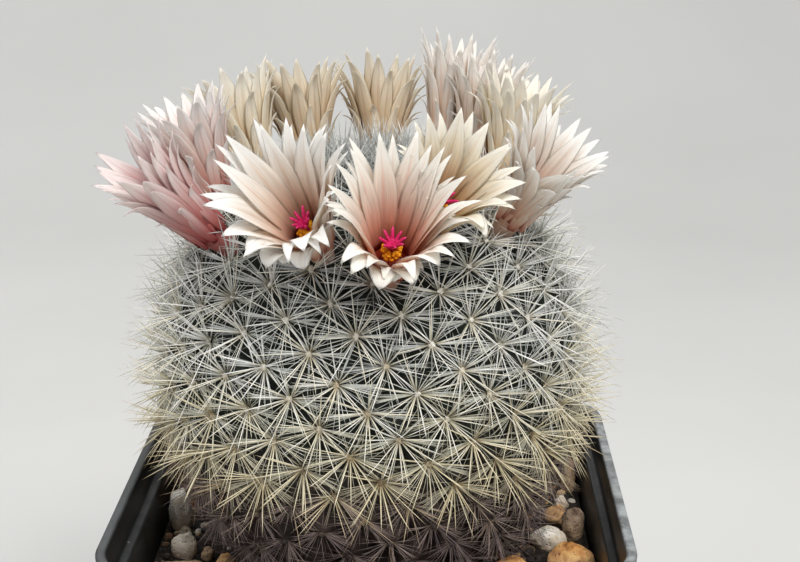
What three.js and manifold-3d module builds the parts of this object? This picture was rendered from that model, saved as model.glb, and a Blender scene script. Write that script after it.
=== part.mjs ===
// A round, white-spined cactus in flower, growing in grit in a square plastic pot.
// Millimetres, +Z up, the front faces -Y. The origin is the middle of the pot's underside.
import * as THREE from 'three';
import { ConvexHull } from 'three/addons/math/ConvexHull.js';
import { mergeVertices } from 'three/addons/utils/BufferGeometryUtils.js';
import Module from 'manifold-3d';

const wasm = await Module();
wasm.setup();

// Driving dimensions
const gap = 0.3; // air left between pieces that touch
const smallestDetail = 0.015; // slivers left by joins and cuts are merged below this size
const pot = {
  width: 90, height: 80, baseWidth: 62, corner: 13.3, baseCorner: 8,
  wall: 1.3, rimWidth: 1.8, collar: 9, ledgeDepth: 6, floor: 1.6, drainRadius: 3.5, drainOffset: 20,
  // how far the collar's outside, the rim's inside and the ledge's edge draw in, and their corners
  collarTaper: 0.6, collarCornerTaper: 0.3, rimTaper: 0.4, rimCornerTaper: 0.2, ledgeInset: 0.6,
};
const soil = {
  depthBelowRim: 14, holeBottomBelowRim: 20.3, holeMargin: 1,
  bump: 0.6, bumpRings: [0.3, 0.65], // uneven rings, as shares of the way from the wall to the hole
};
const body = {
  centreAboveRim: 22.5, radius: 37, upperExponent: 2.15, lowerHeight: 45, // tips of the tubercles
  tubercleDepth: 3, areoles: 205, lowestAreoleBelowRim: 9.5, areoleRadius: 0.85, padDome: 0.2,
  neck: [{ belowRim: 13, radius: 21.3 }, { belowRim: 18, radius: 15.6 }], // plain foot in the soil
  footBelowRim: 20,
};
const spine = {
  perAreole: 7, radialLength: 6.6, centralLength: 8.4, radialRise: 26, centralRise: 52, // degrees
  clearance: 0.5, jitter: 0.12, wander: 4, aboveSoil: 1.5, reach: 2.4,
  // turn and lift, in degrees, tried in this order until a spine is clear of its neighbours
  tries: [[0, 0], [7, 4], [-7, 4], [0, 10], [8, 14], [-8, 14], [0, 20], [6, -6], [-6, -6]],
};
const petal = {
  perRow: 7, halfWidth: 2.1, thickness: 0.8, stations: [0.42, 0.75], curl: 1.6,
  outerLength: 0.86, innerMouth: 0.68, // shares of the bloom's own length and mouth
  bend: 1.45, opening: 1.2, curlFrom: 0.7, fill: 0.92, leastOuter: 4.4, leastInner: 3.3, clearance: 0.3,
  neighbourReach: 10, // blooms whose mouths are further apart than this don't limit each other
};
const cup = {
  depth: 1, sink: 2.2, // depth of a bloom's base below the tubercles' tips; length of tube below that
  baseRadius: 1.8, waist: 2.5, waistRadius: 2.3,
  floorHeight: 3, rimHeight: 6.5, rimRadius: 3.7, throat: 2.75,
};
const socket = { sides: 10, above: 1.2, flare: 0.3 }; // hole in the body for a bloom's tube
const stamens = {
  hole: 0.8, columnRadius: 1.35, crownRadius: 2.1, height: 8, points: 5, notch: 1.1, dish: 0.8,
};
const stigma = {
  styleRadius: 0.45, lobes: 5, lobeRadius: 2.1, height: 11.5, cup: 1.2, // a star of lobes round a dip
  pinch: 1.3, notch: 1.7, // how near the style, and how low, the rim comes between two lobes
};

// One line for each bloom: where it stands on the ring (degrees from the front towards +X, distance
// from the plant's axis), how far it leans out and along the ring, its length and its mouth's radius.
const blooms = [
  { name: 'flower_01', at: 8, ring: 29, lean: 42, turn: 0, length: 24.5, mouth: 11, colour: 0xf3dcd6 },
  { name: 'flower_02', at: 25, ring: 23, lean: 46, turn: 0, length: 21, mouth: 9.6, colour: 0xecdcc6 },
  { name: 'flower_03', at: 61, ring: 25.7, lean: 39, turn: -6, length: 21.5, mouth: 10, colour: 0xeed6cc },
  { name: 'flower_04', at: 100, ring: 23.3, lean: 12, turn: 0, length: 22, mouth: 8.8, colour: 0xead4c4 },
  { name: 'flower_05', at: 131, ring: 24.5, lean: 11, turn: 0, length: 24.5, mouth: 8, colour: 0xe9d6c6 },
  { name: 'flower_06', at: 150, ring: 26, lean: 14, turn: 0, length: 28, mouth: 7.5, colour: 0xe8d2c8 },
  { name: 'flower_07', at: 178, ring: 24, lean: 23, turn: -1, length: 21.5, mouth: 11, colour: 0xe3cdb6 },
  { name: 'flower_08', at: 208, ring: 24, lean: 21, turn: 0, length: 21.5, mouth: 10.5, colour: 0xe6d3bf },
  { name: 'flower_09', at: 233, ring: 25, lean: 22, turn: 2, length: 22.5, mouth: 9.5, colour: 0xe8d5c6 },
  { name: 'flower_10', at: 266, ring: 26, lean: 19, turn: 2, length: 22, mouth: 9, colour: 0xeacdc8 },
  { name: 'flower_11', at: 302, ring: 27.5, lean: 49, turn: -4, length: 24, mouth: 9.2, colour: 0xe9c4c2 },
  { name: 'flower_12', at: 345, ring: 26.2, lean: 47, turn: -3, length: 25, mouth: 10.8, colour: 0xf2ded4 },
];

// Loose stones on the soil: place, length, breadth, height, turn about Z in degrees, colour.
const stoneSeat = 0.22; // height of a stone's middle above the soil, as a share of its own height
const stones = [
  { name: 'stone_01', x: -37.7, y: 22.4, size: [4.2, 4.4, 6.6], turn: 10, colour: 0xa98f76 },
  { name: 'stone_02', x: -37, y: 8.5, size: [4.2, 4.6, 11.2], turn: -15, colour: 0xe8e2d6 },
  { name: 'stone_03', x: -35, y: -4.6, size: [4.8, 4.6, 6.4], turn: 30, colour: 0xdcd5c6 },
  { name: 'stone_04', x: -34.4, y: -11, size: [9.0, 3.0, 2.6], turn: 4, colour: 0xcdbfa6 },
  { name: 'stone_05', x: -26.2, y: -11, size: [5.0, 4.0, 4.6], turn: 50, colour: 0xb98a54 },
  { name: 'stone_06', x: 38, y: 27, size: [3.2, 4.2, 9.0], turn: 8, colour: 0xb59a7c },
  { name: 'stone_07', x: 37.5, y: 4.6, size: [4.4, 5.0, 7.6], turn: -12, colour: 0x8d7862 },
  { name: 'stone_08', x: 32.4, y: -0.8, size: [6.6, 4.8, 6.2], turn: 10, colour: 0xe6dcc6 },
  { name: 'stone_09', x: 35.6, y: -10.4, size: [8.2, 6.0, 6.8], turn: -6, colour: 0xc99d63 },
  { name: 'stone_10', x: 25, y: -15.2, size: [8.0, 5.6, 6.2], turn: 20, colour: 0xb5844c },
  { name: 'stone_11', x: 12, y: -33, size: [6.4, 5.0, 4.0], turn: 70, colour: 0xd3c6b0 },
  { name: 'stone_12', x: -14, y: 33, size: [5.6, 5.0, 4.2], turn: -40, colour: 0xb9a68c },
  { name: 'stone_13', x: -33, y: 20.2, size: [4.2, 3.0, 4.0], turn: 25, colour: 0xa98f76 },
  { name: 'stone_14', x: 34.9, y: 10.8, size: [5.0, 4.0, 4.4], turn: -20, colour: 0xb98a54 },
  { name: 'stone_15', x: 36.2, y: 17.2, size: [2.8, 3.0, 3.6], turn: 40, colour: 0xdcd5c6 },
  { name: 'stone_16', x: -30.2, y: -5.4, size: [2.8, 2.6, 2.6], turn: 15, colour: 0x8d7862 },
  { name: 'stone_17', x: -24, y: -32.5, size: [7.0, 5.2, 4.6], turn: -30, colour: 0xb5844c },
  { name: 'stone_18', x: 30.5, y: 31.5, size: [6.0, 4.6, 4.2], turn: 55, colour: 0xd3c6b0 },
];

const rimZ = pot.height;
const soilZ = rimZ - soil.depthBelowRim;
const bodyZ = rimZ + body.centreAboveRim;
const bodyMiddle = new THREE.Vector3(0, 0, bodyZ - 10); // every point of the body is in sight from here
const goldenAngle = Math.PI * (3 - Math.sqrt(5));
const cornerPoints = 6;
const up = new THREE.Vector3(0, 0, 1);
const radians = THREE.MathUtils.degToRad;

// A seeded draw, so that every build is alike.
let seed = 20417;
function draw(low, high) {
  seed = (seed * 1664525 + 1013904223) % 4294967296;
  return low + (high - low) * (seed / 4294967296);
}

// Solids

function closedGeometry(points, faces) {
  const geometry = new THREE.BufferGeometry();
  const numbers = points.flatMap((p) => [p.x, p.y, p.z]);
  geometry.setAttribute('position', new THREE.Float32BufferAttribute(numbers, 3));
  geometry.setIndex(faces.flat());
  return geometry;
}

function signedVolume(position, index) {
  let volume = 0;
  for (let k = 0; k < index.length; k += 3) {
    const [a, b, c] = [0, 1, 2].map((n) => new THREE.Vector3().fromArray(position, 3 * index[k + n]));
    volume += a.dot(b.cross(c)) / 6;
  }
  return volume;
}

function solidFrom(geometry) {
  const bare = geometry.clone();
  bare.deleteAttribute('normal');
  bare.deleteAttribute('uv');
  const merged = mergeVertices(bare, 1e-4);
  const vertProperties = Float32Array.from(merged.attributes.position.array);
  const triVerts = Uint32Array.from(merged.index.array);
  if (signedVolume(vertProperties, triVerts) < 0) triVerts.reverse();
  return new wasm.Manifold(new wasm.Mesh({ numProp: 3, vertProperties, triVerts }));
}

// The largest closed shell of a solid: loose scraps are dropped, and sealed hollows are filled.
function geometryFrom(solid) {
  const mesh = solid.simplify(smallestDetail).getMesh();
  const parent = Array.from({ length: mesh.numVert }, (_, k) => k);
  const rootOf = (k) => {
    let at = k;
    while (parent[at] !== at) at = parent[at];
    parent[k] = at;
    return at;
  };
  for (let k = 0; k < mesh.triVerts.length; k += 3) {
    const root = rootOf(mesh.triVerts[k]);
    parent[rootOf(mesh.triVerts[k + 1])] = root;
    parent[rootOf(mesh.triVerts[k + 2])] = root;
  }
  const shells = new Map();
  for (let k = 0; k < mesh.triVerts.length; k += 3) {
    const root = rootOf(mesh.triVerts[k]);
    if (!shells.has(root)) shells.set(root, []);
    shells.get(root).push(...mesh.triVerts.subarray(k, k + 3));
  }
  const volumeOf = (index) => signedVolume(mesh.vertProperties, index);
  const sized = [...shells.values()].map((index) => ({ index, volume: volumeOf(index) }));
  const largest = sized.reduce((best, shell) => (shell.volume > best.volume ? shell : best));
  const geometry = new THREE.BufferGeometry();
  geometry.setAttribute('position', new THREE.Float32BufferAttribute(mesh.vertProperties, 3));
  geometry.setIndex(largest.index);
  const loose = geometry.toNonIndexed();
  return mergeVertices(loose, 1e-5);
}

// Rings of equal count, one above the other, closed by a point at each end.
function loft(rings, firstPoint, lastPoint) {
  const count = rings[0].length;
  const points = [firstPoint, ...rings.flat(), lastPoint];
  const last = points.length - 1;
  const faces = [];
  for (let k = 0; k < count; k += 1) {
    const next = (k + 1) % count;
    faces.push([0, 1 + next, 1 + k]);
    for (let row = 0; row + 1 < rings.length; row += 1) {
      const low = 1 + row * count;
      const high = low + count;
      faces.push([low + k, low + next, high + next], [low + k, high + next, high + k]);
    }
    faces.push([last, last - count + k, last - count + next]);
  }
  return closedGeometry(points, faces);
}

// Pot

// A round-cornered square: each side's two inner points, then the arc of the corner after it.
function squareRing(half, corner, z) {
  const points = [];
  const flat = half - corner;
  for (let side = 0; side < 4; side += 1) {
    const turn = (side * Math.PI) / 2;
    const place = (x, y) => {
      const c = Math.cos(turn);
      const s = Math.sin(turn);
      points.push(new THREE.Vector3(x * c - y * s, x * s + y * c, z));
    };
    place(half, -flat / 3);
    place(half, flat / 3);
    for (let step = 0; step < cornerPoints; step += 1) {
      const angle = ((Math.PI / 2) * step) / (cornerPoints - 1);
      place(flat + corner * Math.cos(angle), flat + corner * Math.sin(angle));
    }
  }
  return points;
}

// A circle whose points lie in the same directions as a square ring's.
function circleRing(radius, z, like) {
  return like.map((p) => {
    const angle = Math.atan2(p.y, p.x);
    return new THREE.Vector3(radius * Math.cos(angle), radius * Math.sin(angle), z);
  });
}

// The tapered wall's inside face, as half width and corner radius at a height.
function potInside(z) {
  const ledgeZ = rimZ - pot.ledgeDepth;
  const t = (z - pot.floor) / (ledgeZ - pot.floor);
  const lowHalf = pot.baseWidth / 2 - pot.wall;
  const highHalf = pot.width / 2 - pot.rimWidth - pot.wall - pot.ledgeInset;
  const lowCorner = pot.baseCorner - pot.wall;
  const highCorner = pot.corner - pot.rimWidth - pot.wall;
  const { lerp } = THREE.MathUtils;
  return { half: lerp(lowHalf, highHalf, t), corner: lerp(lowCorner, highCorner, t) };
}

function makePot() {
  const half = pot.width / 2;
  const collarZ = rimZ - pot.collar;
  const ledgeZ = rimZ - pot.ledgeDepth;
  const ledge = potInside(ledgeZ);
  const floor = potInside(pot.floor);
  const rimInner = half - pot.rimWidth;
  const rings = [
    squareRing(pot.baseWidth / 2, pot.baseCorner, 0),
    squareRing(ledge.half + pot.wall, ledge.corner + pot.wall, collarZ),
    squareRing(half - pot.collarTaper, pot.corner - pot.collarCornerTaper, collarZ),
    squareRing(half, pot.corner, rimZ),
    squareRing(rimInner, pot.corner - pot.rimWidth, rimZ),
    squareRing(rimInner - pot.rimTaper, pot.corner - pot.rimWidth - pot.rimCornerTaper, ledgeZ),
    squareRing(ledge.half, ledge.corner, ledgeZ),
    squareRing(floor.half, floor.corner, pot.floor),
  ];
  let solid = solidFrom(loft(rings, new THREE.Vector3(0, 0, 0), new THREE.Vector3(0, 0, pot.floor)));
  for (const sx of [-1, 1]) {
    for (const sy of [-1, 1]) {
      const drain = new THREE.CylinderGeometry(pot.drainRadius, pot.drainRadius, 3 * pot.floor, 10);
      drain.rotateX(Math.PI / 2);
      drain.translate(sx * pot.drainOffset, sy * pot.drainOffset, pot.floor / 2);
      solid = solid.subtract(solidFrom(drain));
    }
  }
  return solid;
}

// Stones and soil

// An uneven twelve-sided pebble; grow swells it for the dip that it lies in.
function stoneGeometry(stone, draws, grow) {
  const geometry = new THREE.DodecahedronGeometry(1, 0);
  geometry.deleteAttribute('normal');
  geometry.deleteAttribute('uv');
  const merged = mergeVertices(geometry, 1e-3);
  const position = merged.attributes.position;
  for (let k = 0; k < position.count; k += 1) {
    const swell = draws[k];
    position.setXYZ(
      k,
      position.getX(k) * swell * (stone.size[0] / 2 + grow),
      position.getY(k) * swell * (stone.size[1] / 2 + grow),
      position.getZ(k) * swell * (stone.size[2] / 2 + grow),
    );
  }
  merged.rotateZ(radians(stone.turn));
  merged.translate(stone.x, stone.y, soilZ + stone.size[2] * stoneSeat);
  return merged;
}

// The soil fills the pot and has a plain hole that the cactus stands in.
function makeSoil(stoneDips) {
  const bottomZ = pot.floor + gap;
  const holeBottom = rimZ - soil.holeBottomBelowRim;
  const low = potInside(bottomZ);
  const high = potInside(soilZ);
  const edge = squareRing(high.half - gap, high.corner - gap, soilZ);
  const [mouth, heel] = body.neck.map((ring) => ring.radius + soil.holeMargin);
  const hole = circleRing(mouth, soilZ, edge);
  const between = soil.bumpRings.map((t) => edge.map((p, k) => {
    const point = p.clone().lerp(hole[k], t);
    point.z += draw(-soil.bump, soil.bump);
    return point;
  }));
  const rings = [
    squareRing(low.half - gap, low.corner - gap, bottomZ),
    edge,
    ...between,
    hole,
    circleRing(heel, holeBottom, edge),
  ];
  let solid = solidFrom(loft(rings, new THREE.Vector3(0, 0, bottomZ), new THREE.Vector3(0, 0, holeBottom)));
  for (const dip of stoneDips) solid = solid.subtract(dip);
  return solid;
}

// Cactus body

// The body's outline: nearly a ball above its middle, drawn out to a narrower foot below it.
function bodyRadius(z) {
  const rise = z - bodyZ;
  if (rise >= 0) {
    const t = Math.min(1, rise / body.radius);
    return body.radius * (1 - t ** body.upperExponent) ** (1 / body.upperExponent);
  }
  return body.radius * Math.sqrt(Math.max(0, 1 - (rise / body.lowerHeight) ** 2));
}

function bodyHeightAt(ring) {
  return bodyZ + body.radius * (1 - (ring / body.radius) ** body.upperExponent) ** (1 / body.upperExponent);
}

function onBody(z, angle) {
  const r = bodyRadius(z);
  return new THREE.Vector3(r * Math.sin(angle), -r * Math.cos(angle), z);
}

// Outward direction at a height: square to the outline's slope.
function bodyNormal(z, angle) {
  const step = 0.05;
  const above = Math.min(z + step, bodyZ + body.radius);
  const slope = (bodyRadius(above) - bodyRadius(z - step)) / (above - z + step);
  return new THREE.Vector3(Math.sin(angle), -Math.cos(angle), -slope).normalize();
}

// Areoles sit on a golden-angle spiral, each with the same share of the surface.
function placeAreoles() {
  const top = bodyZ + body.radius;
  const bottom = rimZ - body.lowestAreoleBelowRim;
  const steps = 400;
  const heights = [top];
  const areas = [0];
  for (let k = 1; k <= steps; k += 1) {
    const angle = (Math.PI / 2) * (k / steps);
    const z = top - (top - bottom) * (1 - Math.cos(angle));
    const r0 = bodyRadius(heights[k - 1]);
    const r1 = bodyRadius(z);
    const slant = Math.hypot(r1 - r0, z - heights[k - 1]);
    heights.push(z);
    areas.push(areas[k - 1] + Math.PI * (r0 + r1) * slant);
  }
  const found = [];
  let k = 1;
  for (let i = 0; i < body.areoles; i += 1) {
    const share = ((i + 0.5) / body.areoles) * areas[steps];
    while (areas[k] < share) k += 1;
    const t = (share - areas[k - 1]) / (areas[k] - areas[k - 1]);
    const z = THREE.MathUtils.lerp(heights[k - 1], heights[k], t);
    const angle = i * goldenAngle;
    found.push({ point: onBody(z, angle), normal: bodyNormal(z, angle) });
  }
  return found;
}

// Plain rings and a last point close the body below the lowest areoles.
function footPoints() {
  const points = [];
  const count = 14;
  body.neck.forEach((ring, row) => {
    for (let k = 0; k < count; k += 1) {
      const angle = (2 * Math.PI * (k + row / 2)) / count;
      const point = new THREE.Vector3(Math.sin(angle), -Math.cos(angle), 0).multiplyScalar(ring.radius);
      points.push(point.setZ(rimZ - ring.belowRim));
    }
  });
  points.push(new THREE.Vector3(0, 0, rimZ - body.footBelowRim));
  return points;
}

// Triangles that join neighbouring points, from the convex hull of their directions.
function neighbourTriangles(points) {
  const directions = points.map((p) => p.clone().sub(bodyMiddle).normalize());
  const order = new Map(directions.map((d, i) => [d, i]));
  const hull = new ConvexHull().setFromPoints(directions);
  return hull.faces.map((face) => {
    const corners = [];
    let edge = face.edge;
    do {
      corners.push(order.get(edge.head().point));
      edge = edge.next;
    } while (edge !== face.edge);
    return corners;
  });
}

function segmentDistance(a, b, c, d) {
  const u = b.clone().sub(a);
  const v = d.clone().sub(c);
  const w = a.clone().sub(c);
  const uu = u.dot(u);
  const uv = u.dot(v);
  const vv = v.dot(v);
  const uw = u.dot(w);
  const vw = v.dot(w);
  const det = uu * vv - uv * uv;
  let s = det > 1e-9 ? THREE.MathUtils.clamp((uv * vw - vv * uw) / det, 0, 1) : 0;
  const t = THREE.MathUtils.clamp((uv * s + vw) / vv, 0, 1);
  s = THREE.MathUtils.clamp((uv * t - uw) / uu, 0, 1);
  return w.addScaledVector(u, s).addScaledVector(v, -t).length();
}

// How wide a bloom is at a height along its axis, petals and all.
function bloomReach(bloom, h) {
  const openFrom = 0.62;
  if (h < -cup.sink - 1) return 0;
  const flare = THREE.MathUtils.clamp((h - cup.waist) / (bloom.length * openFrom - cup.waist), 0, 1);
  return h > bloom.length + 2 ? 0 : cup.rimRadius + (bloom.mouth - cup.rimRadius) * flare;
}

function hitsBloom(a, b) {
  for (const bloom of blooms) {
    for (let k = 0; k <= 8; k += 1) {
      const p = a.clone().lerp(b, k / 8).sub(bloom.base);
      const h = p.dot(bloom.axis);
      const r = p.addScaledVector(bloom.axis, -h).length();
      if (r < bloomReach(bloom, h) + spine.clearance) return true;
    }
  }
  return false;
}

function hitsStone(p) {
  return stones.some((stone) => {
    const reach = Math.max(...stone.size) / 2 + 1;
    return p.distanceTo(new THREE.Vector3(stone.x, stone.y, soilZ + stone.size[2] * stoneSeat)) < reach;
  });
}

// Directions in the surface at a point: east runs round the plant, north runs up it.
function surfaceFrame(normal) {
  const east = new THREE.Vector3().crossVectors(up, normal);
  if (east.length() < 1e-3) east.set(1, 0, 0);
  east.normalize();
  return { normal, east, north: new THREE.Vector3().crossVectors(normal, east) };
}

// A spine's tip, turned or raised a little where it would cross what stands near it.
function spineTip({ normal, east, north }, root, heading, central, others) {
  const length = (central ? spine.centralLength : spine.radialLength) * draw(1 - spine.jitter, 1);
  const rise = central ? spine.centralRise : spine.radialRise;
  for (const [turn, lift] of spine.tries) {
    const around = heading + radians(turn + draw(-spine.wander, spine.wander));
    const climb = radians(rise + lift);
    const along = east.clone().multiplyScalar(Math.cos(around)).addScaledVector(north, Math.sin(around));
    const direction = along.multiplyScalar(Math.cos(climb)).addScaledVector(normal, Math.sin(climb));
    const tip = root.clone().addScaledVector(direction, length);
    const clearOfGround = tip.z > soilZ + spine.aboveSoil && !hitsStone(tip);
    const near = others.filter((other) => other.tip.distanceTo(root) < spine.reach * length);
    const clear = near.every((other) => segmentDistance(root, tip, other.root, other.tip) > spine.clearance);
    if (clearOfGround && clear && !hitsBloom(root, tip)) return tip;
  }
  return null;
}

// Tubercles and spines are raised from the triangles between the areoles, so the body and its
// spines are one closed surface. Each areole is a small pad; each of its facets carries a spine.
function bodyGeometry() {
  const areoles = placeAreoles();
  const anchors = [...areoles.map((a) => a.point), ...footPoints()];
  const points = [];
  const faces = [];
  const around = anchors.map(() => []);
  for (const corners of neighbourTriangles(anchors)) {
    const middle = new THREE.Vector3();
    for (const corner of corners) middle.addScaledVector(anchors[corner], 1 / 3);
    const share = corners.filter((corner) => corner < areoles.length).length / 3;
    const inward = bodyMiddle.clone().sub(middle).normalize();
    const valley = points.push(middle.addScaledVector(inward, body.tubercleDepth * share)) - 1;
    for (const corner of corners) around[corner].push(valley);
  }
  const placed = [];
  anchors.forEach((anchor, i) => {
    const areole = areoles[i];
    const frame = surfaceFrame(areole ? areole.normal : anchor.clone().sub(bodyMiddle).normalize());
    const { normal, east, north } = frame;
    const bearing = (p) => {
      const offset = p.clone().sub(anchor);
      const angle = Math.atan2(offset.dot(north), offset.dot(east));
      return (angle + 2 * Math.PI) % (2 * Math.PI);
    };
    const valleys = around[i].map((index) => ({ index, angle: bearing(points[index]) }));
    valleys.sort((a, b) => a.angle - b.angle);
    const centre = points.push(anchor) - 1;
    if (!areole) {
      valleys.forEach((v, k) => faces.push([centre, v.index, valleys[(k + 1) % valleys.length].index]));
      return;
    }
    const start = valleys[0].angle;
    const pad = [];
    for (let k = 0; k < spine.perAreole; k += 1) {
      const angle = start + (2 * Math.PI * k) / spine.perAreole;
      const p = anchor.clone().addScaledVector(east, body.areoleRadius * Math.cos(angle));
      p.addScaledVector(north, body.areoleRadius * Math.sin(angle)).addScaledVector(normal, -body.padDome);
      pad.push({ index: points.push(p) - 1, angle });
    }
    // Flank of the tubercle, from its pad down to the valleys around it.
    let a = 0;
    let b = 0;
    const turnOf = (list, k) => list[k % list.length].angle + (k >= list.length ? 2 * Math.PI : 0);
    while (a < pad.length || b < valleys.length) {
      const padNext = turnOf(pad, a + 1);
      const valleyNext = turnOf(valleys, b + 1);
      const inner = pad[a % pad.length].index;
      const outer = valleys[b % valleys.length].index;
      if (b >= valleys.length || (a < pad.length && padNext <= valleyNext)) {
        faces.push([inner, outer, pad[(a + 1) % pad.length].index]);
        a += 1;
      } else {
        faces.push([inner, outer, valleys[(b + 1) % valleys.length].index]);
        b += 1;
      }
    }
    pad.forEach((p, k) => {
      const next = pad[(k + 1) % pad.length];
      const heading = p.angle + Math.PI / spine.perAreole;
      const root = anchor.clone().add(points[p.index]).add(points[next.index]).multiplyScalar(1 / 3);
      const tip = spineTip(frame, root, heading, k % 2 === 1, placed.filter((other) => other.areole !== i));
      if (!tip) {
        faces.push([centre, p.index, next.index]);
        return;
      }
      placed.push({ areole: i, root, tip });
      const t = points.push(tip) - 1;
      faces.push([centre, p.index, t], [p.index, next.index, t], [next.index, centre, t]);
    });
  });
  return closedGeometry(points, faces);
}

// Blooms

function settleBlooms() {
  for (const bloom of blooms) {
    const angle = radians(bloom.at);
    const out = new THREE.Vector3(Math.sin(angle), -Math.cos(angle), 0);
    const along = new THREE.Vector3(Math.cos(angle), Math.sin(angle), 0);
    const lean = radians(bloom.lean);
    const turn = radians(bloom.turn);
    bloom.base = out.clone().multiplyScalar(bloom.ring).setZ(bodyHeightAt(bloom.ring) - cup.depth);
    bloom.axis = up.clone().multiplyScalar(Math.cos(lean)).addScaledVector(out, Math.sin(lean));
    bloom.axis.multiplyScalar(Math.cos(turn)).addScaledVector(along, Math.sin(turn)).normalize();
    bloom.side = new THREE.Vector3().crossVectors(along, bloom.axis).normalize();
    bloom.across = new THREE.Vector3().crossVectors(bloom.axis, bloom.side);
    bloom.start = draw(0, Math.PI);
  }
}

// Planes half way to the neighbouring blooms; petals are bent to stay on their own side.
function wallsOf(bloom) {
  const walls = [];
  const head = bloom.base.clone().addScaledVector(bloom.axis, bloom.length);
  for (const other of blooms) {
    const otherHead = other.base.clone().addScaledVector(other.axis, other.length);
    const apart = otherHead.clone().sub(head);
    if (other === bloom || apart.length() > bloom.mouth + other.mouth + petal.neighbourReach) continue;
    const normal = apart.normalize().add(other.base.clone().sub(bloom.base).normalize()).normalize();
    const middle = head.clone().add(otherHead).add(bloom.base).add(other.base).multiplyScalar(0.25);
    walls.push({ normal, offset: middle.dot(normal) });
  }
  return walls;
}

// Direction square to a bloom's axis, at an angle round it.
function awayFromAxis(bloom, angle) {
  return bloom.side.clone().multiplyScalar(Math.cos(angle)).addScaledVector(bloom.across, Math.sin(angle));
}

// Distance from the axis, and height, along a petal: it leaves the cup's rim upright, opens, and
// the outer row curls back at the tip.
function petalLine(bloom, outer, mouth, t) {
  const length = bloom.length * (outer ? petal.outerLength : 1);
  const rowOffset = (cup.rimRadius - cup.throat) / 4;
  const root = (cup.rimRadius + cup.throat) / 2 + (outer ? rowOffset : -rowOffset);
  const rise = Math.sin(t * petal.bend) / Math.sin(petal.bend);
  const curl = outer ? (petal.curl * Math.max(0, t - petal.curlFrom)) / (1 - petal.curlFrom) : 0;
  return {
    r: root + (mouth - root) * t ** petal.opening,
    h: cup.rimHeight + (length - cup.rimHeight) * rise - curl,
  };
}

// A petal's points: two four-cornered sections and a tip. A section runs left edge, inner face,
// right edge, outer face.
function petalPoints(bloom, outer, mouth, angle) {
  const out = awayFromAxis(bloom, angle);
  const side = new THREE.Vector3().crossVectors(bloom.axis, out);
  const place = (t) => {
    const { r, h } = petalLine(bloom, outer, mouth, t);
    return bloom.base.clone().addScaledVector(bloom.axis, h).addScaledVector(out, r);
  };
  const sections = petal.stations.map((t) => {
    const middle = place(t);
    const face = new THREE.Vector3().crossVectors(side, place(t + 0.1).sub(place(t - 0.1))).normalize();
    const wedge = petal.fill * petalLine(bloom, outer, mouth, t).r * Math.tan(Math.PI / petal.perRow);
    const half = Math.min(petal.halfWidth, wedge);
    return [[-half, 0], [0, -petal.thickness / 2], [half, 0], [0, petal.thickness / 2]].map(([s, f]) => (
      middle.clone().addScaledVector(side, s).addScaledVector(face, f)
    ));
  });
  return [...sections.flat(), place(1)];
}

// Petals that would reach past a wall stand more upright instead.
function fittedPetal(bloom, outer, angle, walls) {
  let mouth = bloom.mouth * (outer ? 1 : petal.innerMouth);
  const least = outer ? petal.leastOuter : petal.leastInner;
  for (;;) {
    const points = petalPoints(bloom, outer, mouth, angle);
    const inside = (p) => walls.every((wall) => p.dot(wall.normal) < wall.offset - petal.clearance);
    const clear = points.every(inside);
    if (clear || mouth <= least) return points;
    mouth = Math.max(least, mouth * 0.95);
  }
}

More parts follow.
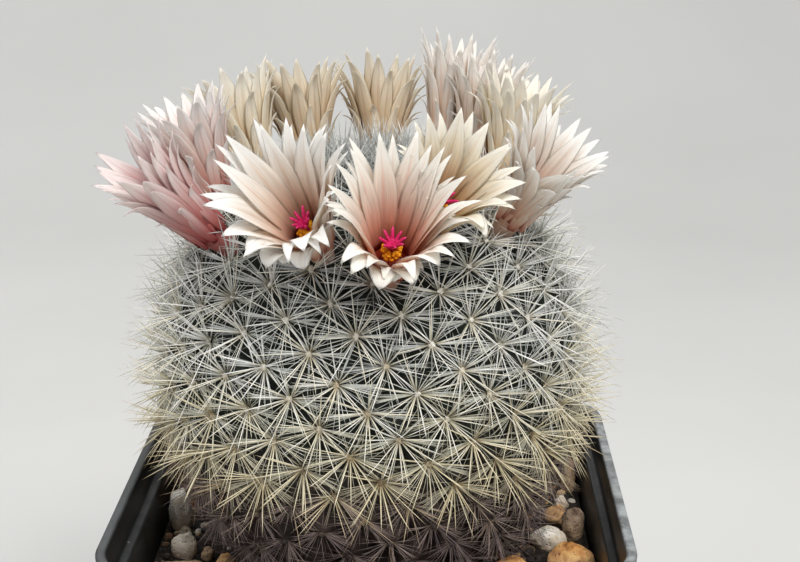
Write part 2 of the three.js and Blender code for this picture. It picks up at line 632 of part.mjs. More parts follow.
// A bloom's tube, cup and two rows of petals as one closed surface. The cup's rim has an inner, a
// middle and an outer ring of points. The inner row rises from between the first two rings, and
// the outer row, half a petal further round, from between the last two.
function makePetals(bloom) {
  const rows = petal.perRow;
  const walls = wallsOf(bloom);
  const points = [];
  const faces = [];
  const ring = (count, offset, radius, h) => Array.from({ length: count }, (_, k) => {
    const angle = bloom.start + (2 * Math.PI * (k + offset)) / count;
    const out = awayFromAxis(bloom, angle);
    return points.push(bloom.base.clone().addScaledVector(bloom.axis, h).addScaledVector(out, radius)) - 1;
  });
  const floor = ring(rows, 0, cup.baseRadius, cup.floorHeight);
  const inner = ring(rows, 0, cup.throat, cup.rimHeight);
  const middle = ring(2 * rows, 0, (cup.throat + cup.rimRadius) / 2, cup.rimHeight);
  const outer = ring(rows, 0.5, cup.rimRadius, cup.rimHeight);
  const waist = ring(rows, 0.5, cup.waistRadius, cup.waist);
  const foot = ring(rows, 0.5, cup.baseRadius, -cup.sink);
  const onAxis = (h) => points.push(bloom.base.clone().addScaledVector(bloom.axis, h)) - 1;
  const floorMiddle = onAxis(cup.floorHeight);
  const footMiddle = onAxis(-cup.sink);
  const raise = (isOuter, k, stitch) => {
    const angle = bloom.start + (2 * Math.PI * (k + (isOuter ? 1 : 0.5))) / rows;
    const first = points.length;
    points.push(...fittedPetal(bloom, isOuter, angle, walls));
    faces.push(...stitch([0, 1, 2, 3].map((n) => first + n)));
    const tip = first + 8;
    for (let n = 0; n < 4; n += 1) {
      const next = (n + 1) % 4;
      faces.push([first + n, first + next, first + 4 + next], [first + n, first + 4 + next, first + 4 + n]);
      faces.push([first + 4 + n, first + 4 + next, tip]);
    }
  };
  for (let k = 0; k < rows; k += 1) {
    const n = (k + 1) % rows;
    const [m0, m1, m2, m3] = [0, 1, 2, 3].map((step) => middle[(2 * k + step) % (2 * rows)]);
    raise(false, k, ([left, front, right, back]) => [
      [inner[k], inner[n], front], [inner[k], front, left], [inner[n], right, front], [inner[n], m2, right],
      [m2, m1, back], [m2, back, right], [m1, m0, left], [m1, left, back], [m0, inner[k], left],
    ]);
    raise(true, k, ([left, front, right, back]) => [
      [m1, m2, front], [m1, front, left], [m2, m3, right], [m2, right, front], [m3, outer[n], right],
      [outer[n], outer[k], back], [outer[n], back, right], [outer[k], left, back], [outer[k], m1, left],
    ]);
    faces.push([inner[n], inner[k], floor[k]], [inner[n], floor[k], floor[n]]);
    faces.push([floor[n], floor[k], floorMiddle]);
    faces.push([outer[k], outer[n], waist[n]], [outer[k], waist[n], waist[k]]);
    faces.push([waist[k], waist[n], foot[n]], [waist[k], foot[n], foot[k]], [foot[k], foot[n], footMiddle]);
  }
  return solidFrom(closedGeometry(points, faces));
}

// Put a shape that was turned about +Y into place on a bloom's axis.
function ontoBloom(geometry, bloom) {
  const turn = new THREE.Matrix4().makeBasis(bloom.side, bloom.axis, bloom.across.clone().negate());
  geometry.applyMatrix4(turn.setPosition(bloom.base));
  return geometry;
}

function latheSolid(profile, segments, bloom) {
  const points = profile.map(([r, h]) => new THREE.Vector2(r, h));
  return solidFrom(ontoBloom(new THREE.LatheGeometry(points, segments), bloom));
}

// A ring of joined stamens whose top stands up in points.
function makeStamens(bloom) {
  const floor = cup.floorHeight + gap;
  const geometry = new THREE.LatheGeometry([
    new THREE.Vector2(stamens.hole, floor),
    new THREE.Vector2(stamens.columnRadius, floor),
    new THREE.Vector2(stamens.crownRadius, stamens.height),
    new THREE.Vector2(stamens.hole, stamens.height - stamens.dish),
    new THREE.Vector2(stamens.hole, floor),
  ], 2 * stamens.points);
  const position = geometry.attributes.position;
  for (let k = 0; k < position.count; k += 1) {
    const crown = Math.hypot(position.getX(k), position.getZ(k)) > stamens.crownRadius - 0.05;
    const turn = Math.round((Math.atan2(position.getX(k), position.getZ(k)) / Math.PI) * stamens.points);
    if (crown && Math.abs(turn) % 2 === 1) position.setY(k, stamens.height - stamens.notch);
  }
  return solidFrom(ontoBloom(geometry, bloom));
}

// The style, opening at its top into a star of lobes.
function makeStigma(bloom) {
  const segments = 2 * stigma.lobes;
  const geometry = new THREE.LatheGeometry([
    new THREE.Vector2(0, cup.floorHeight + gap),
    new THREE.Vector2(stigma.styleRadius, cup.floorHeight + gap),
    new THREE.Vector2(stigma.styleRadius, stigma.height - 2 * stigma.cup),
    new THREE.Vector2(stigma.lobeRadius, stigma.height),
    new THREE.Vector2(0, stigma.height - stigma.cup),
  ], segments);
  const position = geometry.attributes.position;
  for (let k = 0; k < position.count; k += 1) {
    const r = Math.hypot(position.getX(k), position.getZ(k));
    const turn = Math.round((Math.atan2(position.getX(k), position.getZ(k)) / Math.PI) * stigma.lobes);
    if (r > stigma.lobeRadius - 0.05 && Math.abs(turn) % 2 === 1) {
      const pinch = (stigma.pinch * stigma.styleRadius) / r;
      const low = stigma.height - stigma.notch;
      position.setXYZ(k, position.getX(k) * pinch, low, position.getZ(k) * pinch);
    }
  }
  return solidFrom(ontoBloom(geometry, bloom));
}

// The socket in the body that a bloom's tube stands in, widened so that its flats clear the tube.
function bloomSocket(bloom) {
  const swell = 1 / Math.cos(Math.PI / socket.sides);
  const top = cup.waist + socket.above;
  const topRadius = cup.waistRadius + socket.flare * (cup.rimRadius - cup.waistRadius);
  return latheSolid([
    [0, -cup.sink - gap],
    [(cup.baseRadius + gap) * swell, -cup.sink - gap],
    [(cup.waistRadius + gap) * swell, cup.waist],
    [(topRadius + gap) * swell, top],
    [0, top],
  ], socket.sides, bloom);
}

// Assembly

const model = new THREE.Group();

function addPiece(name, solid, colour, roughness) {
  const material = new THREE.MeshStandardMaterial({ color: colour, roughness, metalness: 0 });
  const mesh = new THREE.Mesh(geometryFrom(solid), material);
  mesh.name = name;
  model.add(mesh);
}

settleBlooms();
addPiece('pot', makePot(), 0x1c1c1e, 0.45);

const stoneDips = [];
for (const stone of stones) {
  const draws = Array.from({ length: 20 }, () => draw(0.84, 1.08));
  addPiece(stone.name, solidFrom(stoneGeometry(stone, draws, 0)), stone.colour, 0.85);
  stoneDips.push(solidFrom(stoneGeometry(stone, draws, 1.2 * gap)));
}
addPiece('soil', makeSoil(stoneDips), 0x2b2622, 0.95);

let bodySolid = solidFrom(bodyGeometry());
for (const bloom of blooms) bodySolid = bodySolid.subtract(bloomSocket(bloom));
addPiece('cactus_body', bodySolid, 0xe8e6de, 0.6);

for (const bloom of blooms) {
  addPiece(bloom.name, makePetals(bloom), bloom.colour, 0.5);
  addPiece(`${bloom.name}_stamens`, makeStamens(bloom), 0xf0a018, 0.7);
  addPiece(`${bloom.name}_stigma`, makeStigma(bloom), 0xc0286e, 0.5);
}

export default model;
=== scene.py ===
import math

import bpy
import numpy as np
from mathutils import Matrix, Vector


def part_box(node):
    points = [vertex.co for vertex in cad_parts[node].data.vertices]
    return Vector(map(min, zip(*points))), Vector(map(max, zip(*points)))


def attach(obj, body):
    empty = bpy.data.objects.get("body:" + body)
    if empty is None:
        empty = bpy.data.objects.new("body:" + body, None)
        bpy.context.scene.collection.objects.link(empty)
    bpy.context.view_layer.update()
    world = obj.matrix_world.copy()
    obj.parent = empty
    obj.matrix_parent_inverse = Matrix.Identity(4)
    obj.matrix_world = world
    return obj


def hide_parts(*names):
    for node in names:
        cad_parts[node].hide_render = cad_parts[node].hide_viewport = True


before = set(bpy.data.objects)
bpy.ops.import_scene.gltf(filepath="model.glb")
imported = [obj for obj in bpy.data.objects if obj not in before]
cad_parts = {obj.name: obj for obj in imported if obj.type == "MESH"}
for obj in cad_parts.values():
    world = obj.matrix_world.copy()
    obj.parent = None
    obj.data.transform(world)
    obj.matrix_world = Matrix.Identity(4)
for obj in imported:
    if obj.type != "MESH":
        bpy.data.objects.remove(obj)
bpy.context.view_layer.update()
print("frame: %d nodes" % len(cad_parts))

# Lengths below are millimetres; they become metres when a mesh is filled.
toMetres = 0.001
goldenAngle = math.pi * (3 - math.sqrt(5))
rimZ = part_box("pot")[1].z / toMetres
soilBelowRim = 14
soilZ = rimZ - soilBelowRim


def linear(hexText):
    # sRGB to linear light: v / 12.92 up to 0.04045, then ((v + 0.055) / 1.055) ^ 2.4
    v = np.array([int(hexText[i:i + 2], 16) for i in (1, 3, 5)]) / 255
    v = np.where(v <= 0.04045, v / 12.92, ((v + 0.055) / 1.055) ** 2.4)
    return (*v.tolist(), 1.0)


def addNode(tree, kind, sockets=None, stops=None, **settings):
    # A socket takes a value, another node's socket, or a node, which stands for its first output
    made = tree.nodes.new("ShaderNode" + kind)
    for key, value in settings.items():
        setattr(made, key, value)
    for key, value in (sockets or {}).items():
        if isinstance(value, bpy.types.Node):
            value = value.outputs[0]
        if isinstance(value, bpy.types.NodeSocket):
            tree.links.new(value, made.inputs[key])
        else:
            made.inputs[key].default_value = value
    if stops:
        ends = made.color_ramp.elements
        for end, (place, colour) in ((ends[1], stops[-1]), (ends[0], stops[0])):
            end.position = place
            end.color = linear(colour)
        for place, colour in stops[1:-1]:
            ends.new(place).color = linear(colour)
    return made


def newFinish(name, roughness, ior=1.5):
    finish = bpy.data.materials.new(name)
    finish.use_nodes = True
    tree = finish.node_tree
    tree.nodes.clear()
    shader = addNode(tree, "BsdfPrincipled", {"Roughness": roughness, "IOR": ior})
    output = addNode(tree, "OutputMaterial", {"Surface": shader})
    return finish, tree, shader, output


def coverSurface(tree, shader, colour, height, strength, depth):
    # Colour, and bumps of at most depth metres
    tree.links.new(colour.outputs[0], shader.inputs["Base Color"])
    bump = addNode(tree, "Bump", {"Height": height, "Strength": strength, "Distance": depth})
    tree.links.new(bump.outputs[0], shader.inputs["Normal"])


def makeGrainedFinish(name, roughness, ior, grain, stops, strength, depth):
    # The same noise gives tones and bumps
    finish, tree, shader, _ = newFinish(name, roughness, ior)
    place = addNode(tree, "TexCoord").outputs["Object"]
    noise = addNode(tree, "TexNoise", {"Vector": place, **grain})
    tone = addNode(tree, "ValToRGB", {"Fac": noise}, stops=stops)
    coverSurface(tree, shader, tone, noise, strength, depth)
    return finish


def makeMottledFinish(name, roughness, ior, mark, stops, grain, shades, strength, depth, sheen=0.0):
    # A mark on the mesh gives the tone, which noise darkens or lightens by the two shades
    finish, tree, shader, _ = newFinish(name, roughness, ior)
    shader.inputs["Sheen Weight"].default_value = sheen
    place = addNode(tree, "TexCoord").outputs["Object"]
    share = addNode(tree, "Attribute", attribute_name=mark).outputs["Fac"]
    tone = addNode(tree, "ValToRGB", {"Fac": share}, stops=stops)
    noise = addNode(tree, "TexNoise", {"Vector": place, **grain})
    shade = addNode(tree, "MapRange", {
        "Value": noise, "From Min": 0.3, "From Max": 0.7, "To Min": shades[0], "To Max": shades[1],
    })
    colour = addNode(tree, "MixRGB", {"Fac": 1.0, "Color1": tone, "Color2": shade}, blend_type="MULTIPLY")
    coverSurface(tree, shader, colour, noise, strength, depth)
    return finish


def letLightThrough(tree, shader, output, colour, share):
    # This share of the light passes through, tinted by the colour
    through = addNode(tree, "BsdfTranslucent", {"Color": colour})
    both = addNode(tree, "MixShader", {0: share, 1: shader, 2: through})
    tree.links.new(both.outputs[0], output.inputs["Surface"])


def makePiece(name, points, faces, finish, slotName=None, stands=(), marks=None, smooth=True):
    mesh = bpy.data.meshes.new(name)
    corners = np.concatenate([f.ravel() for f in faces])
    sizes = np.concatenate([np.full(len(f), f.shape[1]) for f in faces])
    mesh.vertices.add(len(points))
    mesh.vertices.foreach_set("co", (points * toMetres).astype(np.float32).ravel())
    mesh.loops.add(len(corners))
    mesh.loops.foreach_set("vertex_index", corners.astype(np.int32))
    mesh.polygons.add(len(sizes))
    mesh.polygons.foreach_set("loop_start", (np.cumsum(sizes) - sizes).astype(np.int32))
    mesh.polygons.foreach_set("use_smooth", np.full(len(sizes), smooth))
    mesh.update(calc_edges=True)
    for mark, values in (marks or {}).items():
        kind, field = ("FLOAT", "value") if values.ndim == 1 else ("FLOAT_VECTOR", "vector")
        layer = mesh.attributes.new(mark, kind, "POINT")
        layer.data.foreach_set(field, values.astype(np.float32).ravel())
    mesh.materials.append(finish)
    piece = bpy.data.objects.new(name, mesh)
    bpy.context.collection.objects.link(piece)
    if slotName:
        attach(piece, "root")
    if stands:
        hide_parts(*stands)
    return piece


def skinFaces(rings, sides):
    # Closed skin over rings of points, with one more point at the foot and one at the tip, in that order
    k = np.arange(sides)
    n = (k + 1) % sides
    low = np.arange(rings - 1)[:, None] * sides
    quads = np.stack([low + k, low + n, low + sides + n, low + sides + k], -1).reshape(-1, 4)
    last = (rings - 1) * sides
    foot = np.stack([n, k, np.full(sides, rings * sides)], -1)
    tip = np.stack([last + k, last + n, np.full(sides, rings * sides + 1)], -1)
    return [quads, np.concatenate([foot, tip])]


def repeated(faces, items, step):
    # The same faces for each of several like items whose points follow one another
    return [(f[None] + np.arange(items)[:, None, None] * step).reshape(-1, f.shape[1]) for f in faces]


def joined(parts):
    # Several (points, faces, marks) as one
    points, faces, marks, start = [], {}, {}, 0
    for p, fs, ms in parts:
        for f in fs:
            faces.setdefault(f.shape[1], []).append(f + start)
        for key, value in ms.items():
            marks.setdefault(key, []).append(value)
        points.append(p)
        start += len(p)
    return (
        np.concatenate(points),
        [np.concatenate(f) for f in faces.values()],
        {key: np.concatenate(value) for key, value in marks.items()},
    )


def unit(v):
    return v / np.maximum(np.linalg.norm(v, axis=-1, keepdims=True), 1e-9)


def smoothStep(v):
    v = np.clip(v, 0, 1)
    return v * v * (3 - 2 * v)


def turns(count):
    return 2 * np.pi * np.arange(count) / count


def rods(root, heading, length, radius, bend, sides, rings, taper):
    # Point = root + heading L t + bend t^2, and a ring round it of radius R (1 - taper t^1.6)
    t = np.linspace(0, 1, rings + 1)[:-1][None, :, None]
    angle = turns(sides)
    helper = np.where(np.abs(heading[:, 2:3]) < 0.9, [[0.0, 0.0, 1.0]], [[1.0, 0.0, 0.0]])
    a = unit(np.cross(heading, helper))
    b = np.cross(heading, a)
    line = root[:, None] + heading[:, None] * length[:, None, None] * t + bend[:, None] * t ** 2
    wide = radius[:, None, None] * (1 - taper * t ** 1.6)
    ring = a[:, None, None] * np.cos(angle)[:, None] + b[:, None, None] * np.sin(angle)[:, None]
    points = (line[:, :, None] + ring * wide[:, :, None]).reshape(len(root), -1, 3)
    tip = root + heading * length[:, None] + bend
    points = np.concatenate([points, root[:, None], tip[:, None]], 1)
    along = np.concatenate([np.repeat(t[0, :, 0], sides), [0, 1]])
    faces = repeated(skinFaces(rings, sides), len(root), points.shape[1])
    return points.reshape(-1, 3), faces, np.tile(along, len(root)), points.shape[1]


def blobs(centre, size, turn, rng, sides, rings, lump):
    # An ellipsoid for each centre, whose radius swells by lump times a few seeded waves
    polar = (np.arange(rings) + 1) / (rings + 1) * np.pi
    angle = turns(sides)
    ball = np.stack([
        (np.sin(polar)[:, None] * np.cos(angle)).ravel(),
        (np.sin(polar)[:, None] * np.sin(angle)).ravel(),
        np.repeat(-np.cos(polar), sides),
    ], -1)
    ball = np.concatenate([ball, [[0, 0, -1], [0, 0, 1]]])
    waves = rng.normal(size=(len(centre), 5, 3)) * 2.2
    shift = rng.uniform(0, 6.28, (len(centre), 5))
    swell = np.sin(np.einsum("kwc,pc->kpw", waves, ball) + shift[:, None]).mean(-1)
    shape = ball[None] * (1 + lump * swell[..., None]) * size[:, None]
    c, s = np.cos(turn)[:, None], np.sin(turn)[:, None]
    x = shape[..., 0] * c - shape[..., 1] * s
    y = shape[..., 0] * s + shape[..., 1] * c
    points = np.stack([x, y, shape[..., 2]], -1) + centre[:, None]
    return points.reshape(-1, 3), repeated(skinFaces(rings, sides), len(centre), len(ball)), len(ball)


pot = {
    "baseHalf": 31, "rimHalf": 45, "baseCorner": 8, "rimCorner": 13.3, "wall": 1.3, "rimWidth": 1.8,
    "collar": 9, "ledge": 6, "ledgeInset": 3.8, "floor": 1.6,
    # How far the wall's top is inside the rim, and how much its corners open on the way up
    "underCollar": 2.4, "cornerGrowth": 3.7,
    # The drill goes from the first of its heights to the second
    "drainRadius": 3.5, "drainOffset": 20, "drainSides": 28, "drill": (-2.0, 5.0),
    # The pale dust and scuff tones are partly painted light on what faces up, most on the rim's top and more
    # so to the right
    "dustAndLight": "#5b5f60", "scuffAndHighlight": "#a9adad", "speck": "#a9a59a", "roughness": 0.42,
}
outline = {"perCorner": 14, "perSide": 5}  # points round a corner and along a side


def squareOutline(half, corner):
    # Rounded square: a quarter arc at each corner, then points along the side to the next
    perCorner, perSide = outline["perCorner"], outline["perSide"]
    turn = np.linspace(0, np.pi / 2, perCorner)
    arc = np.stack([half - corner + corner * np.cos(turn), half - corner + corner * np.sin(turn)], -1)
    reach = half - corner
    steps = np.arange(1, perSide + 1)
    side = np.stack([reach - 2 * reach * steps / (perSide + 1), np.full(perSide, half)], -1)
    quarter = np.concatenate([arc, side])
    turned = [quarter @ np.array([[c, s], [-s, c]]) for c, s in ((1, 0), (0, 1), (-1, 0), (0, -1))]
    return np.concatenate(turned)


def squareLoft(rows):
    # Outlines carried up through rows of (half width, corner radius, height)
    around = 4 * (outline["perCorner"] + outline["perSide"])
    flat = [np.column_stack([squareOutline(h, c), np.full(around, z)]) for h, c, z in rows]
    ends = [[0, 0, rows[0][2]], [0, 0, rows[-1][2]]]
    return np.concatenate([*flat, ends]), skinFaces(len(rows), around)


def potOutside(z):
    # The wall runs straight from the base to the foot of the collar
    share = z / (rimZ - pot["collar"])
    top = pot["rimHalf"] - pot["underCollar"]
    corner = pot["baseCorner"] + pot["cornerGrowth"] * share
    return pot["baseHalf"] + (top - pot["baseHalf"]) * share, corner


def makePotFinish():
    # Black polypropylene, injection moulded: satin and a little chalky; what faces up is painted paler,
    # partly dust and partly painted light
    finish, tree, shader, _ = newFinish("moulded_black_polypropylene", pot["roughness"], 1.49)
    place = addNode(tree, "TexCoord").outputs["Object"]
    facing = addNode(tree, "NewGeometry").outputs["Normal"]
    upward = addNode(tree, "SeparateXYZ", {"Vector": facing}).outputs["Z"]
    # Dust and painted light on what faces up lie in patches a few millimetres wide
    patches = addNode(tree, "TexNoise", {"Vector": place, "Scale": 260.0, "Detail": 5.0, "Roughness": 0.65})
    settled = addNode(tree, "MapRange", {
        "Value": upward, "From Min": 0.25, "From Max": 0.95, "To Max": 0.75,
    })
    spread = addNode(tree, "MapRange", {
        "Value": patches, "From Min": 0.4, "From Max": 0.62, "To Min": 0.35, "To Max": 1.0,
    })
    share = addNode(tree, "Math", {0: settled, 1: spread}, operation="MULTIPLY")
    # The rim's top millimetre is painted pale: partly scuffs, partly painted light that grows to the right;
    # below it less dust and painted light is left
    x, _, z = addNode(tree, "SeparateXYZ", {"Vector": place}).outputs
    top = addNode(tree, "MapRange", {
        "Value": z, "From Min": (rimZ - 0.9) * toMetres, "From Max": (rimZ - 0.1) * toMetres,
    })
    edge = pot["rimHalf"] * toMetres
    # Painted light: the rim's top is painted paler from left to right, towards the side the light falls on
    towardsLight = addNode(tree, "MapRange", {"Value": x, "From Min": -edge, "From Max": edge, "To Max": 0.85})
    worn = addNode(tree, "Math", {0: top, 1: towardsLight}, operation="MULTIPLY")
    rubbedAndLit = addNode(tree, "Math", {0: worn, 1: spread}, operation="MULTIPLY")
    kept = addNode(tree, "MapRange", {"Value": top, "To Min": 0.1, "To Max": 0.6})
    dustAndLight = addNode(tree, "Math", {0: share, 1: kept}, operation="MULTIPLY")
    plain = addNode(tree, "ValToRGB", {"Fac": patches}, stops=[(0.3, "#101112"), (0.7, "#1c1e1f")])
    # Pale mineral specks of about half a millimetre cling to the wall
    specks = addNode(tree, "TexVoronoi", {"Vector": place, "Scale": 330.0, "Randomness": 1.0})
    speck = addNode(tree, "MapRange", {"Value": specks, "From Min": 0.1, "From Max": 0.06})
    rare = addNode(tree, "SeparateColor", {"Color": specks.outputs["Color"]})
    chosen = addNode(tree, "Math", {0: rare, 1: 0.94}, operation="GREATER_THAN")
    spot = addNode(tree, "Math", {0: speck, 1: chosen}, operation="MULTIPLY")
    dustyAndLit = addNode(tree, "MixRGB", {"Fac": dustAndLight, "Color1": plain, "Color2": linear(pot["dustAndLight"])})
    scuffedAndLit = addNode(tree, "MixRGB", {"Fac": rubbedAndLit, "Color1": dustyAndLit, "Color2": linear(pot["scuffAndHighlight"])})
    colour = addNode(tree, "MixRGB", {"Fac": spot, "Color1": scuffedAndLit, "Color2": linear(pot["speck"])})
    rough = addNode(tree, "MapRange", {"Value": share, "To Min": 0.4, "To Max": 0.75})
    tree.links.new(rough.outputs[0], shader.inputs["Roughness"])
    # Mould texture, grains of about 0.4 mm
    grain = addNode(tree, "TexNoise", {"Vector": place, "Scale": 2400.0, "Detail": 2.0})
    coverSurface(tree, shader, colour, grain, 0.12, 0.0002)
    return finish


def makePot():
    half, rimCorner = pot["rimHalf"], pot["rimCorner"]
    collarZ = rimZ - pot["collar"]
    ledgeZ = rimZ - pot["ledge"]
    rows = []
    for inset, z in ((1.2, 0), (0.35, 0.25), (0, 1)):  # rounded foot
        wide, corner = potOutside(z)
        rows.append((wide - inset, corner - inset, z))
    for z in np.linspace(8, collarZ - 0.6, 9):
        wide, corner = potOutside(z)
        rows.append((wide, corner, z))
    wide, corner = potOutside(collarZ)
    rows += [(wide + 0.15, corner, collarZ - 0.15), (half - 1.0, rimCorner - 0.9, collarZ + 0.05),
             (half - 0.65, rimCorner - 0.4, collarZ + 0.4)]
    for z in np.linspace(collarZ + 1, rimZ - 1, 5):
        rows.append((half - 0.6 * (rimZ - z) / pot["collar"], rimCorner, z))
    # The rim's edge, rounded over, then down the inside to the ledge
    lip = pot["rimWidth"]
    rows += [(half - 0.02, rimCorner, rimZ - 0.45), (half - 0.2, rimCorner - 0.2, rimZ - 0.08),
             (half - 0.55, rimCorner - 0.55, rimZ), (half - lip + 0.5, rimCorner - lip + 0.5, rimZ),
             (half - lip + 0.12, rimCorner - lip + 0.12, rimZ - 0.12),
             (half - lip, rimCorner - lip, rimZ - 0.5),
             (half - lip - 0.25, rimCorner - lip - 0.1, rimZ - 3.2), (half - 2.15, 11.35, ledgeZ + 0.4),
             (half - 2.4, 11.2, ledgeZ + 0.08), (half - 2.9, 10.9, ledgeZ), (half - 3.4, 10.4, ledgeZ),
             (half - 3.65, 10.25, ledgeZ - 0.1), (half - pot["ledgeInset"], 10.1, ledgeZ - 0.5)]
    for z in np.linspace(ledgeZ - 6, 4, 9):
        wide, corner = potOutside(z)
        rows.append((min(wide - pot["wall"], half - pot["ledgeInset"]), corner - pot["wall"], z))
    wide, corner = potOutside(pot["floor"])
    rows += [(wide - pot["wall"] - 0.1, corner - pot["wall"], pot["floor"] + 0.7),
             (wide - pot["wall"] - 0.7, corner - pot["wall"] - 0.5, pot["floor"])]
    points, faces = squareLoft(rows)
    piece = makePiece("nursery_pot", points, faces, makePotFinish())
    # Four drain holes, cut right through the floor
    sides, radius, (under, over) = pot["drainSides"], pot["drainRadius"], pot["drill"]
    turn = turns(sides)
    circle = [radius * np.cos(turn), radius * np.sin(turn)]
    rings = [np.stack([*circle, np.full(sides, z)], -1) for z in (under, over)]
    drill = np.concatenate([*rings, [[0, 0, under], [0, 0, over]]])
    for n, (sx, sy) in enumerate(((1, 1), (-1, 1), (-1, -1), (1, -1))):
        moved = drill + np.array([sx, sy, 0]) * pot["drainOffset"]
        cutter = makePiece("drill_%d" % n, moved, skinFaces(2, sides), piece.data.materials[0])
        cut = piece.modifiers.new("drain", "BOOLEAN")
        cut.operation, cut.object, cut.solver = "DIFFERENCE", cutter, "EXACT"
        bpy.context.view_layer.update()
        ready = piece.evaluated_get(bpy.context.evaluated_depsgraph_get())
        holed = bpy.data.meshes.new_from_object(ready)
        piece.modifiers.clear()
        piece.data = holed
        bpy.data.objects.remove(cutter)
    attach(piece, "root")
    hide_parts("pot")


makePot()
print("pot: done")

soil = {
    "gap": 0.3, "widest": 40.9, "bump": 0.55, "holeRadius": 19, "seed": 31,
    "grains": 1500, "grainSize": (0.45, 1.5), "grainField": 40.2,
    "grainCorner": (29.5, 10.6),  # where the field's corners begin, and their radius
    "peat": [(0.3, "#0d0b09"), (0.52, "#261d16"), (0.66, "#4a3b2d"), (0.8, "#7a6a55")],
    "grit": [(0.0, "#17130f"), (0.3, "#221b15"), (0.42, "#3b2e22"), (0.55, "#55422f"), (0.68, "#7b6650"),
             (0.78, "#94602f"), (0.86, "#b58d5e"), (0.93, "#bfb19a"), (1.0, "#d8d0c2")],
}
stoneSeat = 0.22  # height of a stone's middle above the soil, as a share of its own height
stoneCut = {
    # The ball's facets and lumps; faces cut on it, how near, how sharp their edges; most swell, roughness
    "sides": 56, "rings": 36, "lump": 0.06, "planes": 16, "depth": (0.78, 1.0), "sharpness": 12,
    "most": 1.12, "fine": 0.36,
}
stones = {"stone_%02d" % (n + 1): row for n, row in enumerate([
    # Place x, y, length, breadth, height, turn, finish
    (-37.7, 22.4, 4.2, 4.4, 6.6, 10, "tan"),
    (-37, 8.5, 4.2, 4.6, 11.2, -15, "white"),
    (-35, -4.6, 4.8, 4.6, 6.4, 30, "white"),
    (-34.4, -11, 9, 3, 2.6, 4, "tan"),
    (-26.2, -11, 5, 4, 4.6, 50, "orange"),
    (38, 27, 3.2, 4.2, 9, 8, "tan"),
    (37.5, 4.6, 4.4, 5, 7.6, -12, "brown"),
    (32.4, -0.8, 6.6, 4.8, 6.2, 10, "white"),
    (35.6, -10.4, 8.2, 6, 6.8, -6, "orange"),
    (25, -15.2, 8, 5.6, 6.2, 20, "orange"),
    (12, -33, 6.4, 5, 4, 70, "tan"),
    (-14, 33, 5.6, 5, 4.2, -40, "brown"),
    (-33, 20.2, 4.2, 3, 4, 25, "tan"),
    (34.9, 10.8, 5, 4, 4.4, -20, "orange"),
    (36.2, 17.2, 2.8, 3, 3.6, 40, "white"),
    (-30.2, -5.4, 2.8, 2.6, 2.6, 15, "brown"),
    (-24, -32.5, 7, 5.2, 4.6, -30, "orange"),
    (30.5, 31.5, 6, 4.6, 4.2, 55, "tan"),
])}
stoneTones = {  # deep, middle, pale
    "white": ("#cfc0a8", "#f0e8d8", "#fcf9f2"),
    "tan": ("#7a6147", "#a98d6c", "#cdb897"),
    "orange": ("#7d4a1e", "#b97f3f", "#dcae6c"),
    "brown": ("#4a382b", "#75604d", "#9a8774"),
}


def makeStoneFinish(name):
    # Crushed pumice and limestone grit: chalky, pitted, stained by iron in the hollows; painted shade
    # darkens the pits
    deep, middle, pale = stoneTones[name]
    finish, tree, shader, _ = newFinish("pitted_%s_pumice" % name, 0.85, 1.5)
    place = addNode(tree, "TexCoord").outputs["Object"]
    stain = addNode(tree, "TexNoise", {"Vector": place, "Scale": 420.0, "Detail": 6.0, "Roughness": 0.62})
    tone = addNode(tree, "ValToRGB", {"Fac": stain}, stops=[(0.32, deep), (0.47, middle), (0.62, pale)])
    pits = addNode(tree, "TexVoronoi", {"Vector": place, "Scale": 1300.0})  # pits about 0.8 mm apart
    # Painted shade: the colour is darkened towards the middle of each pit, and 0.4 of that darkening is kept
    pitShadeAndDepth = addNode(tree, "MapRange", {"Value": pits, "From Min": 0.05, "From Max": 0.3})
    colour = addNode(tree, "MixRGB", {"Fac": 1.0, "Color1": tone, "Color2": pitShadeAndDepth}, blend_type="MULTIPLY")
    soft = addNode(tree, "MixRGB", {"Fac": 0.4, "Color1": tone, "Color2": colour})
    # Wet soil has stained the foot, most up to 1 mm above the soil and no higher than 5 mm
    z = addNode(tree, "SeparateXYZ", {"Vector": place}).outputs["Z"]
    low = addNode(tree, "MapRange", {
        "Value": z, "From Min": (soilZ + 5) * toMetres, "From Max": (soilZ + 1) * toMetres, "To Max": 0.75,
    })
    stained = addNode(tree, "MixRGB", {"Fac": low, "Color1": soft, "Color2": linear(stoneTones["tan"][1])})
    height = addNode(tree, "Math", {0: stain, 1: pitShadeAndDepth}, operation="ADD")
    coverSurface(tree, shader, stained, height, 0.6, 0.0006)
    return finish


def soilHeight(x, y):
    # Low heaps about a centimetre long, sin x cos y, and slanting ones a third as long, 0.6 sin (x + y)
    heaps = np.sin(x * 0.61 + 1.3) * np.cos(y * 0.53) + 0.6 * np.sin(x * 1.3 + y * 1.1)
    return soilZ + soil["bump"] * heaps / 1.6


